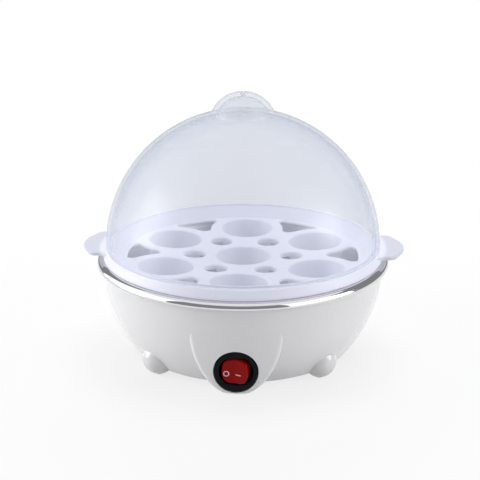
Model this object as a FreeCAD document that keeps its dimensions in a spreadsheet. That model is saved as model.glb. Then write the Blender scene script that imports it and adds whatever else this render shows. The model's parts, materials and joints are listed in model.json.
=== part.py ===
import FreeCAD, Part
import math
import operator
import os
from types import SimpleNamespace

import Sketcher
from FreeCAD import Placement, Rotation, Vector

# Seven-egg electric egg cooker. +Z is up, the switch faces -Y, and the origin is on the table under the
# middle of the base. Lengths are in millimetres and angles in degrees.

# Driving sizes, a group for each piece
sizes = {
    # fits
    "seat_gap": 0.1,
    "slip_gap": 0.15,
    "screw_gap": 0.05,
    "overrun": 2.0,
    # housing bowl
    "bowl_centre_drop": 1.4,
    "housing_wall": 2.2,
    "housing_bottom_height": 3.7,
    # nose that carries the switch
    "nose_half_width": 24.8,
    "nose_half_height": 38.4,
    "nose_base_cut": 2.0,
    "nose_top_inset": 0.6,
    "nose_seat_lap": 2.0,
    "nose_round": 3.2,
    "nose_depth": 34.2,
    # feet and their pads
    "foot_inset": 4.2,
    "foot_radius": 9.2,
    "foot_bottom_height": 0.7,
    "pad_radius": 2.8,
    "pad_thickness": 1.6,
    # housing bosses, screws and pillars
    "boss_inset": 7.7,
    "boss_radius": 4.8,
    "pillar_length": 15.0,
    "screw_radius": 1.5,
    "screw_engagement": 5.9,
    "screw_head_radius": 2.9,
    "screw_head_height": 2.2,
    "screw_slot_width": 0.9,
    "screw_slot_depth": 1.0,
    "counterbore_depth": 4.4,
    "pillar_radius": 3.9,
    "pillar_bore_depth": 11.0,
    # heating dish
    "dish_sheet": 0.8,
    "dish_depth": 23.3,
    "flange_overhang": 0.1,
    "flange_ledge": 0.5,
    "flange_width": 2.2,
    "flange_roll": 3.0,
    "flange_drop": 3.4,
    "dish_lip_round": 2.0,
    "dish_corner_round": 8.0,
    "dish_wall_angle": 68.0,
    "stud_radius": 1.5,
    "stud_length": 6.0,
    "earth_stud_angle": 22.0,
    # gasket under the flange
    "gasket_thickness": 0.7,
    "gasket_width": 1.6,
    # ring element
    "element_inset": 11.5,
    "element_tube_radius": 3.3,
    "element_gap_angle": 44.0,
    "element_bend_radius": 5.0,
    "element_rise": 11.0,
    "bead_radius": 3.0,
    "bead_height": 3.0,
    "pin_radius": 1.2,
    "pin_height": 5.0,
    "strap_thickness": 0.8,
    "strap_width": 8.0,
    "strap_flange": 5.0,
    "strap_gap": 0.3,
    # thermostat under the middle of the dish
    "thermostat_cap_radius": 8.4,
    "thermostat_cap_height": 1.8,
    "thermostat_body_radius": 7.2,
    "thermostat_body_height": 7.0,
    "thermostat_tab_spacing": 8.0,
    "bracket_thickness": 0.8,
    "bracket_width": 12.0,
    "bracket_stud_spacing": 25.0,
    "bracket_ear": 4.0,
    "nut_radius": 3.1,
    "nut_height": 2.2,
    # spade tabs and their receptacles
    "tab_thickness": 0.8,
    "tab_width": 4.8,
    "tab_length": 7.0,
    "spade_length": 6.0,
    "spade_wall": 0.9,
    # thermal fuse
    "fuse_radius": 2.3,
    "fuse_length": 13.0,
    "fuse_start_reach": 12.0,
    "fuse_lift": 1.0,
    # terminal block
    "block_margin": 1.0,
    "block_depth": 11.0,
    "block_height": 12.0,
    "cord_room": 3.36,
    "block_pitch": 8.0,
    "sleeve_radius": 2.3,
    "sleeve_bore_radius": 1.3,
    "clamp_screw_radius": 1.3,
    "clamp_screw_pitch": 5.4,
    "clip_thickness": 1.6,
    "clip_height": 8.0,
    # leads
    "lead_radius": 1.0,
    "lead_bare_length": 3.0,
    "lead_floor_gap": 1.1,
    "pin_lift": 6.0,
    "lead_straight": 14.0,
    "lead_side_reach": 17.0,
    "earth_tag_radius": 3.4,
    "earth_tag_reach": 6.5,
    "earth_barrel_radius": 1.7,
    "earth_barrel_length": 7.0,
    # cord gland
    "gland_height": 17.0,
    "gland_boss_radius": 9.4,
    "gland_boss_proud": 0.15,
    "gland_flange_radius": 8.2,
    "gland_flange_thickness": 2.4,
    "gland_neck_radius": 5.6,
    "gland_catch_radius": 6.4,
    "gland_catch_length": 3.0,
    "gland_bore_radius": 3.5,
    # switch housing
    "seat_lift": 0.6,
    "seat_inset": 5.5,
    "seat_margin": 0.3,
    "panel_thickness": 2.2,
    "bezel_lap": 2.0,
    "bezel_height": 2.0,
    "bezel_round": 0.9,
    "switch_body_radius": 9.6,
    "switch_floor": 1.4,
    "switch_floor_room": 4.4,
    "switch_hole_gap": 0.3,
    "switch_wall": 0.9,
    "window_flat": 1.4,
    "catch_width": 4.0,
    "catch_depth": 4.0,
    # rocker
    "pivot_depth": 0.4,
    "rocker_gap": 0.25,
    "rocker_end_inset": 1.0,
    "rocker_skirt": 3.0,
    "rocker_angle": 12.0,
    "rocker_pin_radius": 1.0,
    "rocker_pin_reach": 1.1,
    "plunger_tube_radius": 2.3,
    "plunger_tube_length": 7.6,
    "plunger_radius": 1.3,
    "plunger_length": 6.0,
    "plunger_gap": 0.5,
    "spring_wire_radius": 0.22,
    "spring_radius": 1.1,
    "spring_turns": 5.0,
    # contact rocker and switch tabs
    "fulcrum_depth": 15.6,
    "contact_angle": 8.0,
    "contact_half_length": 4.9,
    "contact_width": 3.6,
    "contact_thickness": 0.8,
    "fulcrum_radius": 0.7,
    "switch_tab_pitch": 5.6,
    "switch_tab_reach": 7.4,
    # neon lamp
    "lamp_radius": 1.4,
    "lamp_length": 7.6,
    "lamp_depth": 9.0,
    "lamp_leg_radius": 0.35,
    # egg tray
    "tray_wall": 1.6,
    "cup_radius": 15.4,
    "cup_taper": 2.4,
    "cup_depth": 12.0,
    "cup_wall": 1.4,
    "cup_web": 17.2,
    "cup_edge_lap": 0.4,
    "plate_dish": 2.8,
    "plate_drop": 5.9,
    "tray_foot_run": 4.5,
    "tray_slope_run": 9.5,
    "skirt_height": 5.5,
    "skirt_lean": 2.3,
    "tray_skirt_wall": 1.4,
    "tray_rib_height": 1.3,
    "tray_rib_width": 1.1,
    "steam_hole_radius": 6.2,
    "steam_hole_depth": 3.0,
    "vent_side_web": 6.6,
    "vent_tip_inset": 13.0,
    "vent_wide_inset": 2.7,
    "vent_outset": 2.6,
    "vent_tip_ease": 0.5,
    "vent_corner_round": 3.4,
    "ear_length": 14.0,
    "ear_shoulder_length": 5.0,
    "ear_drop": 0.9,
    "ear_thickness": 2.2,
    "ear_end_radius": 26.0,
    "ear_corner_radius": 6.0,
    "ear_blend_radius": 9.0,
    "ear_end_half_width": 14.5,
    "ear_half_width": 19.5,
    "ear_root_half_width": 24.5,
    # lid
    "lid_overlap": 0.4,
    "lid_wall": 2.0,
    "lid_centre_drop": 1.1,
    "knob_radius": 19.0,
    "knob_sink": 8.9,
    "knob_fillet": 2.0,
    "knob_wall": 2.6,
    "groove_width": 2.7,
    "groove_depth": 1.7,
    "steam_vent_radius": 1.6,
}

doc = FreeCAD.newDocument("EggCooker")
sheet = doc.addObject("Spreadsheet::Sheet", "Sizes")
for row, (name, number) in enumerate(sizes.items(), 1):
    sheet.set(f"A{row}", name)
    sheet.set(f"B{row}", str(number))
    sheet.setAlias(f"B{row}", name)
doc.recompute()


# Sizes that carry their own sheet expression
signs = {"+": operator.add, "-": operator.sub, "*": operator.mul, "/": operator.truediv}


def number_of(value):
    return value.number if isinstance(value, Size) else value


def text_of(value):
    return value.text if isinstance(value, Size) else repr(value)


def joined(first, sign, second):
    number = signs[sign](number_of(first), number_of(second))
    return Size(number, f"({text_of(first)} {sign} {text_of(second)})")


class Size:
    """A length, angle or ratio: its number, and the sheet expression that gives it."""

    def __init__(self, number, text):
        self.number = number
        self.text = text

    def __add__(self, other):
        return joined(self, "+", other)

    def __radd__(self, other):
        return joined(other, "+", self)

    def __sub__(self, other):
        return joined(self, "-", other)

    def __rsub__(self, other):
        return joined(other, "-", self)

    def __mul__(self, other):
        return joined(self, "*", other)

    def __rmul__(self, other):
        return joined(other, "*", self)

    def __truediv__(self, other):
        return joined(self, "/", other)

    def __neg__(self):
        return joined(0, "-", self)


def sine(angle):
    return Size(math.sin(math.radians(number_of(angle))), f"sin({text_of(angle)})")


def cosine(angle):
    return Size(math.cos(math.radians(number_of(angle))), f"cos({text_of(angle)})")


def root(value):
    return Size(math.sqrt(number_of(value)), f"sqrt({text_of(value)})")


def chord(radius, offset):
    """Half the width of a circle at a distance from its centre."""
    return root(radius * radius - offset * offset)


s = SimpleNamespace(**{name: Size(number, f"Sizes.{name}") for name, number in sizes.items()})


# Sizes that follow from the driving ones, each in a cell that holds its expression
worked = doc.addObject("Spreadsheet::Sheet", "Worked")


def work_out(name, value):
    row = len(vars(s)) - len(sizes) + 1
    worked.set(f"A{row}", name)
    worked.set(f"B{row}", "=" + value.text.replace("Worked.", ""))
    worked.setAlias(f"B{row}", name)
    setattr(s, name, Size(value.number, f"Worked.{name}"))


# Seven cups set the width of the tray, and the tray that of the lid, the dish and the housing
work_out("cup_end_radius", s.cup_radius - s.cup_taper)
work_out("cup_circle_radius", s.cup_radius * 2 + s.cup_web)
work_out("steam_hole_circle_radius", s.cup_circle_radius / (cosine(30) * 2))
work_out("tray_plate_radius", s.cup_circle_radius + s.cup_radius - s.cup_edge_lap)
work_out("tray_foot_radius", s.tray_plate_radius + s.tray_foot_run)
work_out("tray_lip_radius", s.tray_foot_radius + s.tray_slope_run)
work_out("tray_skirt_radius", s.tray_lip_radius + s.skirt_lean)
work_out("vent_side_radius", s.cup_radius + s.vent_side_web)
work_out("vent_tip_distance", s.tray_plate_radius - s.vent_tip_inset)
work_out("vent_wide_distance", s.tray_plate_radius - s.vent_wide_inset)
work_out("vent_outer_radius", s.tray_plate_radius + s.vent_outset)
work_out("ear_reach", s.tray_lip_radius + s.ear_length)
work_out("ear_shoulder_reach", s.tray_lip_radius + s.ear_shoulder_length)
work_out("lid_radius", s.tray_lip_radius + s.lid_overlap)
work_out("flange_flat_radius", s.tray_skirt_radius + s.flange_ledge)
work_out("flange_inner_radius", s.flange_flat_radius - s.flange_width)
work_out("dish_rim_radius", s.flange_flat_radius + s.flange_roll)
work_out("bowl_radius", s.flange_flat_radius - s.flange_overhang)

# Heights, from the housing floor up to the knob
work_out("floor_height", s.housing_bottom_height + s.housing_wall)
work_out("lead_run_height", s.floor_height + s.lead_radius + s.lead_floor_gap)
work_out("fuse_height", s.lead_run_height + s.fuse_lift)
work_out("pin_low_height", s.lead_run_height + s.pin_lift)
work_out("element_end_height", s.pin_low_height + s.pin_height + s.bead_height)
work_out("dish_floor_height", s.element_end_height + s.element_rise)
work_out("dish_top_height", s.dish_floor_height + s.dish_sheet)
work_out("boss_top_height", s.dish_floor_height - s.pillar_length)
work_out("flange_top_height", s.dish_floor_height + s.dish_depth)
work_out("flange_under_height", s.flange_top_height - s.dish_sheet)
work_out("dish_rim_height", s.flange_top_height - s.flange_drop)
work_out("rim_height", s.flange_under_height - s.gasket_thickness)
work_out("bowl_centre_height", s.rim_height - s.bowl_centre_drop)
work_out("nose_centre_height", s.housing_bottom_height + s.nose_half_height - s.nose_base_cut)
work_out("tray_lip_height", s.flange_top_height + s.skirt_height)
work_out("tray_plate_height", s.tray_lip_height - s.plate_drop)
work_out("tray_centre_height", s.tray_plate_height - s.plate_dish)
work_out("plate_slope", s.plate_dish / s.tray_plate_radius)
work_out("cup_low_height", s.tray_plate_height - s.tray_wall - s.cup_depth)
work_out("cup_slope", s.cup_taper / (s.tray_plate_height + s.overrun - s.cup_low_height))
work_out("lid_centre_height", s.tray_lip_height - s.lid_centre_drop)
work_out("knob_centre_height", s.lid_centre_height + s.lid_radius - s.knob_sink)
work_out("knob_top_height", s.knob_centre_height + s.knob_radius)

# The round switch and its rocker
work_out("bezel_radius", s.switch_body_radius + s.bezel_lap)
work_out("seat_radius", s.bezel_radius + s.seat_margin)
work_out("switch_hole_radius", s.switch_body_radius + s.switch_hole_gap)
work_out("switch_body_depth", s.fulcrum_depth + s.switch_floor_room)
work_out("switch_height", s.housing_bottom_height + s.seat_radius + s.seat_lift)
work_out("seat_distance", s.bowl_radius - s.seat_inset)
work_out("window_radius", s.switch_body_radius - s.switch_wall)
work_out("window_half_height", s.window_radius - s.window_flat)
work_out("rocker_sphere_radius", s.window_radius - s.rocker_gap)
work_out("rocker_half_height", s.window_half_height - s.rocker_gap)
work_out("rocker_half_width", s.rocker_sphere_radius - s.rocker_end_inset)
work_out("rocker_end_height", chord(s.rocker_sphere_radius, s.rocker_half_width) - s.screw_gap)
work_out("nose_top_radius", s.bowl_radius - s.nose_top_inset)
work_out("nose_bottom_radius", s.seat_distance + s.nose_seat_lap)
work_out("nose_root_distance", s.seat_distance - s.nose_depth)

# Places on the bowl for the feet, the bosses, the gland and what follows them
work_out("foot_circle_radius", chord(s.bowl_radius, s.bowl_centre_height - s.foot_radius) - s.foot_inset)
work_out("boss_circle_radius",
         chord(s.bowl_radius - s.housing_wall, s.bowl_centre_height - s.floor_height) - s.boss_inset)
work_out("element_circle_radius", s.boss_circle_radius - s.element_inset)
work_out("gland_boss_distance",
         chord(s.bowl_radius, s.bowl_centre_height - s.gland_height - s.gland_boss_radius) + s.gland_boss_proud)
work_out("gland_catch_distance",
         chord(s.bowl_radius - s.housing_wall, s.bowl_centre_height - s.gland_height + s.gland_catch_radius)
         - s.slip_gap)
work_out("gland_inner_distance", s.gland_catch_distance - s.gland_catch_length)
work_out("block_rear_distance", s.gland_inner_distance - s.cord_room)
work_out("block_width", (s.block_pitch + s.block_margin / 2) * 4)
doc.recompute()


# Sketches and features
def bind(thing, path, value):
    """Set a property, or a constraint, to a size."""
    if isinstance(value, Size):
        thing.setExpression(path, value.text)
    elif path.startswith("Placement"):
        thing.setExpression(path, repr(float(value)))
    else:
        setattr(thing, path, value)


def place(thing, x=0, y=0, z=0, turn=0, axis=Vector(0, 0, 1)):
    """Stand a thing at a point, turned by an angle about an axis."""
    thing.Placement = Placement(Vector(number_of(x), number_of(y), number_of(z)),
                                Rotation(axis, number_of(turn)))
    for path, value in (("Base.x", x), ("Base.y", y), ("Base.z", z), ("Rotation.Angle", turn)):
        if isinstance(value, Size):
            bind(thing, f"Placement.{path}", value)
    return thing


def pin_point(sketch, edge, end, x, y):
    """Hold one end of an edge at a point given by two sizes."""
    for kind, value in (("DistanceX", x), ("DistanceY", y)):
        index = sketch.addConstraint(Sketcher.Constraint(kind, -1, 1, edge, end, float(number_of(value))))
        if isinstance(value, Size):
            bind(sketch, f"Constraints[{index}]", value)


def arc_between(start, end, radius):
    """The short arc from one point to another: it turns left for a positive radius, right for a negative."""
    middle = (start + end) * 0.5
    half = (end - start).Length / 2
    across = Vector(start.y - end.y, end.x - start.x, 0).normalize()
    rise = math.sqrt(max(radius * radius - half * half, 0))
    centre = middle + across * math.copysign(rise, radius)
    first, last = (start, end) if radius > 0 else (end, start)
    angles = [math.atan2(point.y - centre.y, point.x - centre.x) for point in (first, last)]
    if angles[1] < angles[0]:
        angles[1] += 2 * math.pi
    return Part.ArcOfCircle(Part.Circle(centre, Vector(0, 0, 1), abs(radius)), *angles)


def outline(sketch, steps):
    """Draw a closed outline. Each step is (x, y) after a straight edge or (x, y, radius) after an arc."""
    corners = [Vector(number_of(step[0]), number_of(step[1]), 0) for step in steps]
    if (corners[0] - corners[-1]).Length > 1e-9:
        steps = steps + [steps[0][:2]]
        corners.append(corners[0])
    edges = []
    for start, end, step in zip(corners, corners[1:], steps[1:]):
        if len(step) == 2:
            edge = sketch.addGeometry(Part.LineSegment(start, end))
            ends = (1, 2)
        else:
            radius = number_of(step[2])
            edge = sketch.addGeometry(arc_between(start, end, radius))
            ends = (1, 2) if radius > 0 else (2, 1)
            index = sketch.addConstraint(Sketcher.Constraint("Radius", edge, abs(radius)))
            bind(sketch, f"Constraints[{index}]", step[2] if radius > 0 else -step[2])
        edges.append((edge, ends))
    for (edge, ends), (following, next_ends) in zip(edges, edges[1:] + edges[:1]):
        sketch.addConstraint(Sketcher.Constraint("Coincident", edge, ends[1], following, next_ends[0]))
    for (edge, ends), step in zip(edges, steps):
        pin_point(sketch, edge, ends[0], step[0], step[1])


def circles(sketch, radius, centres):
    """Draw circles of one radius."""
    for x, y in centres:
        middle = Vector(number_of(x), number_of(y), 0)
        edge = sketch.addGeometry(Part.Circle(middle, Vector(0, 0, 1), number_of(radius)))
        index = sketch.addConstraint(Sketcher.Constraint("Radius", edge, number_of(radius)))
        bind(sketch, f"Constraints[{index}]", radius)
        pin_point(sketch, edge, 3, x, y)


def new_body(label):
    body = doc.addObject("PartDesign::Body", label)
    body.Label = label
    return body


def origin_part(body, role):
    return next(part for part in body.Origin.OriginFeatures if part.Role == role)


def sketch_on(body, role, name, height=None):
    """A sketch on one of the body's own origin planes, or at a height above it."""
    sketch = body.newObject("Sketcher::SketchObject", name)
    sketch.AttachmentSupport = (origin_part(body, role), [""])
    sketch.MapMode = "FlatFace"
    if height is not None:
        bind(sketch, "AttachmentOffset.Base.z", height)
    return sketch


def turned(body, name, steps, kind="PartDesign::Revolution", role="XZ_Plane", axis="V_Axis"):
    """Revolve an outline about an axis of its sketch. On the XZ plane its x is a radius and its y a height."""
    sketch = sketch_on(body, role, f"{name}_outline")
    outline(sketch, steps)
    feature = body.newObject(kind, name)
    feature.Profile = sketch
    feature.ReferenceAxis = (sketch, [axis])
    feature.Angle = 360
    sketch.Visibility = False
    doc.recompute()
    return feature


def pushed(body, name, sketch, length, kind="PartDesign::Pad", both=False, back=False):
    """Pad or pocket a sketch by a length, to both sides, or backwards."""
    feature = body.newObject(kind, name)
    feature.Profile = sketch
    bind(feature, "Length", length)
    feature.Midplane = both
    feature.Reversed = back
    doc.recompute()
    return feature


def patterned(body, name, features, count):
    """Repeat features round the body's Z axis."""
    pattern = body.newObject("PartDesign::PolarPattern", name)
    pattern.Originals = features
    pattern.Axis = (origin_part(body, "Z_Axis"), [""])
    pattern.Angle = 360
    pattern.Occurrences = count
    body.Tip = pattern
    doc.recompute()
    return pattern


def solid(kind, name, **values):
    """A Part primitive or feature whose properties are sizes."""
    thing = doc.addObject(f"Part::{kind}", name)
    for path, value in values.items():
        bind(thing, path, value)
    return thing


def rod(name, radius, length, x=0, y=0, z=0, along="z"):
    """A cylinder from a point along +Z, +Y or +X."""
    axis, turn = {"z": (Vector(0, 0, 1), 0), "y": (Vector(1, 0, 0), -90), "x": (Vector(0, 1, 0), 90)}[along]
    return place(solid("Cylinder", name, Radius=radius, Height=length), x, y, z, turn, axis)


def block(name, width, depth, height, x, y, z):
    """A box centred on x and y that stands at z."""
    box = solid("Box", name, Length=width, Width=depth, Height=height)
    return place(box, x - width / 2, y - depth / 2, z)


def fused(label, things):
    thing = doc.addObject("Part::MultiFuse", label)
    thing.Shapes = things
    return thing


def cut(label, base, tool):
    thing = doc.addObject("Part::Cut", label)
    thing.Base = base
    thing.Tool = tool
    return thing


def gathered(label, things):
    """Separate solids of one kind, kept together."""
    thing = doc.addObject("Part::Compound", label)
    thing.Links = things
    return thing


def ring_places(radius, count, first=0):
    """Places spaced evenly round the Z axis, as (x, y) sizes."""
    angles = [first + 360 / count * step for step in range(count)]
    return [(radius * cosine(angle), radius * sine(angle)) for angle in angles]


parts = []


def keep(thing, label):
    """Name a finished sub-part."""
    thing.Label = label
    parts.append(thing)
    return thing


foot_count = 4
screw_count = 3
foot_places = ring_places(s.foot_circle_radius, foot_count, 180 / foot_count)
screw_places = ring_places(s.boss_circle_radius, screw_count, 180 / screw_count)


# Housing: a bowl with a nose for the switch, four feet, screw bosses and a boss for the cord gland
def bowl_outline(radius, low, high):
    """Half of a ball-shaped bowl between two heights."""
    return [(0, low),
            (chord(radius, s.bowl_centre_height - low), low),
            (chord(radius, high - s.bowl_centre_height), high, radius),
            (0, high)]


def bowl(name, radius, low, high):
    body = new_body(name)
    turned(body, f"{name}_turn", bowl_outline(radius, low, high))
    return body


def nose(name, wall, low, high):
    """The part of an elliptic prism inside a cone about the Z axis, with a rounded front edge, cut off level."""
    ellipse = solid("Ellipse", f"{name}_ellipse", MajorRadius=s.nose_half_height - wall,
                    MinorRadius=s.nose_half_width - wall)
    place(ellipse, 0, -s.nose_root_distance, s.nose_centre_height, -120, Vector(1, 1, 1))
    prism = doc.addObject("Part::Extrusion", f"{name}_prism")
    prism.Base = ellipse
    prism.DirMode = "Custom"
    prism.Dir = Vector(0, -1, 0)
    bind(prism, "LengthFwd", s.nose_top_radius)
    prism.Solid = True
    slope = (s.nose_top_radius - s.nose_bottom_radius) / (s.rim_height - s.housing_bottom_height)
    reach = s.nose_half_height + s.overrun
    middle = s.nose_bottom_radius - wall + (s.nose_centre_height - s.housing_bottom_height) * slope
    cone = solid("Cone", f"{name}_cone", Radius1=middle - reach * slope, Radius2=middle + reach * slope,
                 Height=reach * 2)
    place(cone, z=s.nose_centre_height - reach)
    blank = doc.addObject("Part::MultiCommon", f"{name}_blank")
    blank.Shapes = [prism, cone]
    doc.recompute()
    rounded = doc.addObject("Part::Fillet", f"{name}_rounded")
    rounded.Base = blank
    radius = (s.nose_round - wall).number
    front = [index for index, edge in enumerate(blank.Shape.Edges, 1)
             if edge.CenterOfMass.y < -(s.nose_root_distance + s.nose_round).number
             and edge.BoundBox.ZLength > s.nose_half_height.number / 2 and edge.BoundBox.XLength > radius]
    rounded.Edges = [(index, radius, radius) for index in front]
    slab = solid("Box", f"{name}_slab", Length=s.nose_half_width * 2 + s.overrun,
                 Width=s.nose_top_radius * 2, Height=high - low)
    place(slab, -(s.nose_half_width + s.overrun / 2), -s.nose_top_radius - s.overrun, low)
    shape = doc.addObject("Part::MultiCommon", name)
    shape.Shapes = [rounded, slab]
    doc.recompute()
    return shape


def housing():
    outside = [bowl("bowl_outside", s.bowl_radius, s.housing_bottom_height, s.rim_height),
               nose("nose_outside", 0 * s.housing_wall, s.housing_bottom_height, s.rim_height)]
    for number, (x, y) in enumerate(foot_places):
        outside.append(place(solid("Sphere", f"foot_{number}", Radius=s.foot_radius), x, y, s.foot_radius))
    outside.append(rod("gland_boss", s.gland_boss_radius, s.gland_boss_distance - s.element_circle_radius,
                       0, s.element_circle_radius, s.gland_height, "y"))
    inside = [bowl("bowl_inside", s.bowl_radius - s.housing_wall, s.floor_height, s.rim_height + s.overrun),
              nose("nose_inside", s.housing_wall, s.floor_height, s.rim_height + s.overrun)]
    shell = cut("housing_shell", fused("housing_blank", outside), fused("housing_hollow", inside))

    added = [shell]
    added.append(rod("switch_pad", s.seat_radius, s.panel_thickness,
                     0, -s.seat_distance, s.switch_height, "y"))
    boss_length = s.boss_top_height - s.housing_bottom_height - s.housing_wall / 2
    for number, (x, y) in enumerate(screw_places):
        added.append(rod(f"boss_{number}", s.boss_radius, boss_length, x, y,
                         s.housing_bottom_height + s.housing_wall / 2))
    clip_offset = s.block_width / 2 + s.slip_gap + s.clip_thickness / 2
    for number, side in enumerate((-1, 1)):
        added.append(block(f"block_clip_{number}", s.clip_thickness, s.block_depth - s.clip_thickness,
                           s.clip_height + s.housing_wall / 2, side * clip_offset,
                           s.block_rear_distance - s.block_depth / 2, s.floor_height - s.housing_wall / 2))

    removed = []
    removed.append(rod("switch_seat", s.seat_radius, s.nose_top_radius, 0,
                       -s.seat_distance - s.nose_top_radius, s.switch_height, "y"))
    removed.append(rod("switch_hole", s.switch_hole_radius, s.nose_top_radius - s.nose_root_distance, 0,
                       -s.nose_top_radius, s.switch_height, "y"))
    removed.append(rod("gland_hole", s.gland_neck_radius + s.slip_gap,
                       s.gland_boss_distance - s.element_circle_radius + s.overrun,
                       0, s.element_circle_radius, s.gland_height, "y"))
    for number, (x, y) in enumerate(screw_places):
        removed.append(rod(f"screw_way_{number}", s.screw_radius + s.slip_gap, s.boss_top_height + s.overrun,
                           x, y, s.housing_bottom_height - s.overrun))
        removed.append(rod(f"counterbore_{number}", s.screw_head_radius + s.slip_gap * 2,
                           s.counterbore_depth + s.overrun, x, y, s.housing_bottom_height - s.overrun))
    for number, (x, y) in enumerate(foot_places):
        removed.append(rod(f"foot_flat_{number}", s.foot_radius, s.foot_bottom_height, x, y, 0))
        removed.append(rod(f"pad_recess_{number}", s.pad_radius + s.slip_gap, s.pad_thickness, x, y, 0))
    keep(cut("housing", fused("housing_with_bosses", added), fused("housing_cuts", removed)), "housing")

    pads = [rod(f"foot_pad_{number}", s.pad_radius, s.pad_thickness, x, y, 0)
            for number, (x, y) in enumerate(foot_places)]
    keep(gathered("foot_pads", pads), "foot_pads")


# Screws that come up through the housing bosses, and the pillars under the dish that they pull on
def screws_and_pillars():
    head_height = s.housing_bottom_height + s.counterbore_depth - s.screw_head_height
    screws = []
    pillars = []
    for number, (x, y) in enumerate(screw_places):
        head = rod(f"screw_head_{number}", s.screw_head_radius, s.screw_head_height, x, y, head_height)
        shank = rod(f"screw_shank_{number}", s.screw_radius,
                    s.boss_top_height + s.screw_engagement - head_height, x, y, head_height)
        slot = block(f"screw_slot_{number}", s.screw_head_radius * 2 + s.overrun, s.screw_slot_width,
                     s.screw_slot_depth + s.overrun, x, y, head_height - s.overrun)
        screws.append(cut(f"housing_screw_{number}", fused(f"screw_blank_{number}", [head, shank]), slot))
        hexagon = solid("Prism", f"pillar_hexagon_{number}", Polygon=6, Circumradius=s.pillar_radius,
                        Height=s.dish_floor_height - s.boss_top_height)
        place(hexagon, x, y, s.boss_top_height)
        bore = rod(f"pillar_bore_{number}", s.screw_radius + s.screw_gap, s.pillar_bore_depth + s.overrun,
                   x, y, s.boss_top_height - s.overrun)
        pillars.append(cut(f"dish_pillar_{number}", hexagon, bore))
    keep(gathered("housing_screws", screws), "housing_screws")
    keep(gathered("dish_pillars", pillars), "dish_pillars")


# Steel dish with a rolled flange, its weld studs, and the gasket that seals it to the housing
def dish_line(drop):
    """The dish's upper side, or a side that lies a sheet below it, from the middle out to the rim."""
    angle = s.dish_wall_angle
    lip = s.dish_lip_round - drop
    corner = s.dish_corner_round + drop
    roll = s.dish_rim_radius - s.flange_flat_radius - drop
    top = s.flange_top_height - drop
    floor = s.dish_top_height - drop
    lip_start = (s.flange_inner_radius - lip * sine(angle), top - lip * (1 - cosine(angle)))
    wall_foot_height = floor + corner * (1 - cosine(angle))
    wall_foot_radius = lip_start[0] - (lip_start[1] - wall_foot_height) * cosine(angle) / sine(angle)
    return [(0, floor),
            (wall_foot_radius - corner * sine(angle), floor),
            (wall_foot_radius, wall_foot_height, corner),
            lip_start,
            (s.flange_inner_radius, top, -lip),
            (s.flange_flat_radius, top),
            (s.flange_flat_radius + roll, top - roll, -roll),
            (s.flange_flat_radius + roll, s.dish_rim_height)]


def reversed_line(steps):
    """The same line walked the other way, with its arcs turning the other way."""
    back = []
    for step, following in zip(steps[::-1], [None] + steps[:0:-1]):
        if following is not None and len(following) == 3:
            back.append((step[0], step[1], -following[2]))
        else:
            back.append((step[0], step[1]))
    return back


def dish():
    body = new_body("heating_dish")
    upper = dish_line(0 * s.dish_sheet)
    lower = dish_line(s.dish_sheet)
    turned(body, "dish_sheet_turn", lower + reversed_line(upper))
    spots = [(s.bracket_stud_spacing / 2, 0), (-s.bracket_stud_spacing / 2, 0),
             (s.boss_circle_radius * cosine(s.earth_stud_angle),
              s.boss_circle_radius * sine(s.earth_stud_angle))]
    sketch = sketch_on(body, "XY_Plane", "stud_circles", s.dish_floor_height + s.dish_sheet / 2)
    circles(sketch, s.stud_radius, spots)
    pushed(body, "weld_studs", sketch, s.stud_length + s.dish_sheet / 2, back=True)
    keep(body, "heating_dish")

    gasket = new_body("rim_gasket")
    outer = s.bowl_radius - s.housing_wall / 2 + s.gasket_width / 2
    turned(gasket, "gasket_turn", [(outer - s.gasket_width, s.rim_height), (outer, s.rim_height),
                                   (outer, s.flange_under_height),
                                   (outer - s.gasket_width, s.flange_under_height)])
    keep(gasket, "rim_gasket")


# Tubes swept along straight runs and tangent arcs
def tube(label, path, radius):
    """Sweep a circle along a wire and keep it as a solid."""
    start = path.Edges[0]
    point = start.valueAt(start.FirstParameter)
    along = start.tangentAt(start.FirstParameter)
    section = Part.Wire(Part.makeCircle(radius, point, along))
    thing = doc.addObject("Part::Feature", label)
    swept = path.makePipeShell([section], True, False)
    thing.Shape = swept if swept.Volume > 0 else swept.reversed()
    return thing


def arc_through(start, middle, end):
    return Part.Arc(start, middle, end).toShape()


def element():
    """Ring element: most of a circle, with both ends bent down on the +X side."""
    ring = s.element_circle_radius.number
    height = s.dish_floor_height.number - s.element_tube_radius.number
    bend = s.element_bend_radius.number
    low = s.element_end_height.number
    half_gap = math.radians(s.element_gap_angle.number / 2)
    ends = []
    for side in (1, -1):
        angle = -side * half_gap
        out = Vector(math.cos(angle), math.sin(angle), 0)
        along = Vector(side * out.y, -side * out.x, 0)
        start = out * ring + Vector(0, 0, height)
        turned_down = start - along * bend - Vector(0, 0, bend)
        middle = start - along * bend * math.sin(math.pi / 4) - Vector(0, 0, bend * (1 - math.cos(math.pi / 4)))
        ends.append((start, middle, turned_down, Vector(turned_down.x, turned_down.y, low)))
    (first, first_middle, first_down, first_end), (last, last_middle, last_down, last_end) = ends
    path = Part.Wire([Part.makeLine(first_end, first_down),
                      arc_through(first_down, first_middle, first),
                      arc_through(first, Vector(-ring, 0, height), last),
                      arc_through(last, last_middle, last_down),
                      Part.makeLine(last_down, last_end)])
    keep(tube("heating_element", path, s.element_tube_radius.number), "heating_element")
    beads = []
    pins = []
    for number, point in enumerate((first_end, last_end)):
        x, y, z = point.x, point.y, s.element_end_height - s.bead_height
        beads.append(rod(f"element_bead_{number}", s.bead_radius, s.bead_height, x, y, z))
        pins.append(rod(f"element_pin_{number}", s.pin_radius, s.pin_height, x, y, z - s.pin_height))
    keep(gathered("element_beads", beads), "element_beads")
    keep(gathered("element_pins", pins), "element_pins")
    return first_end, last_end


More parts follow.
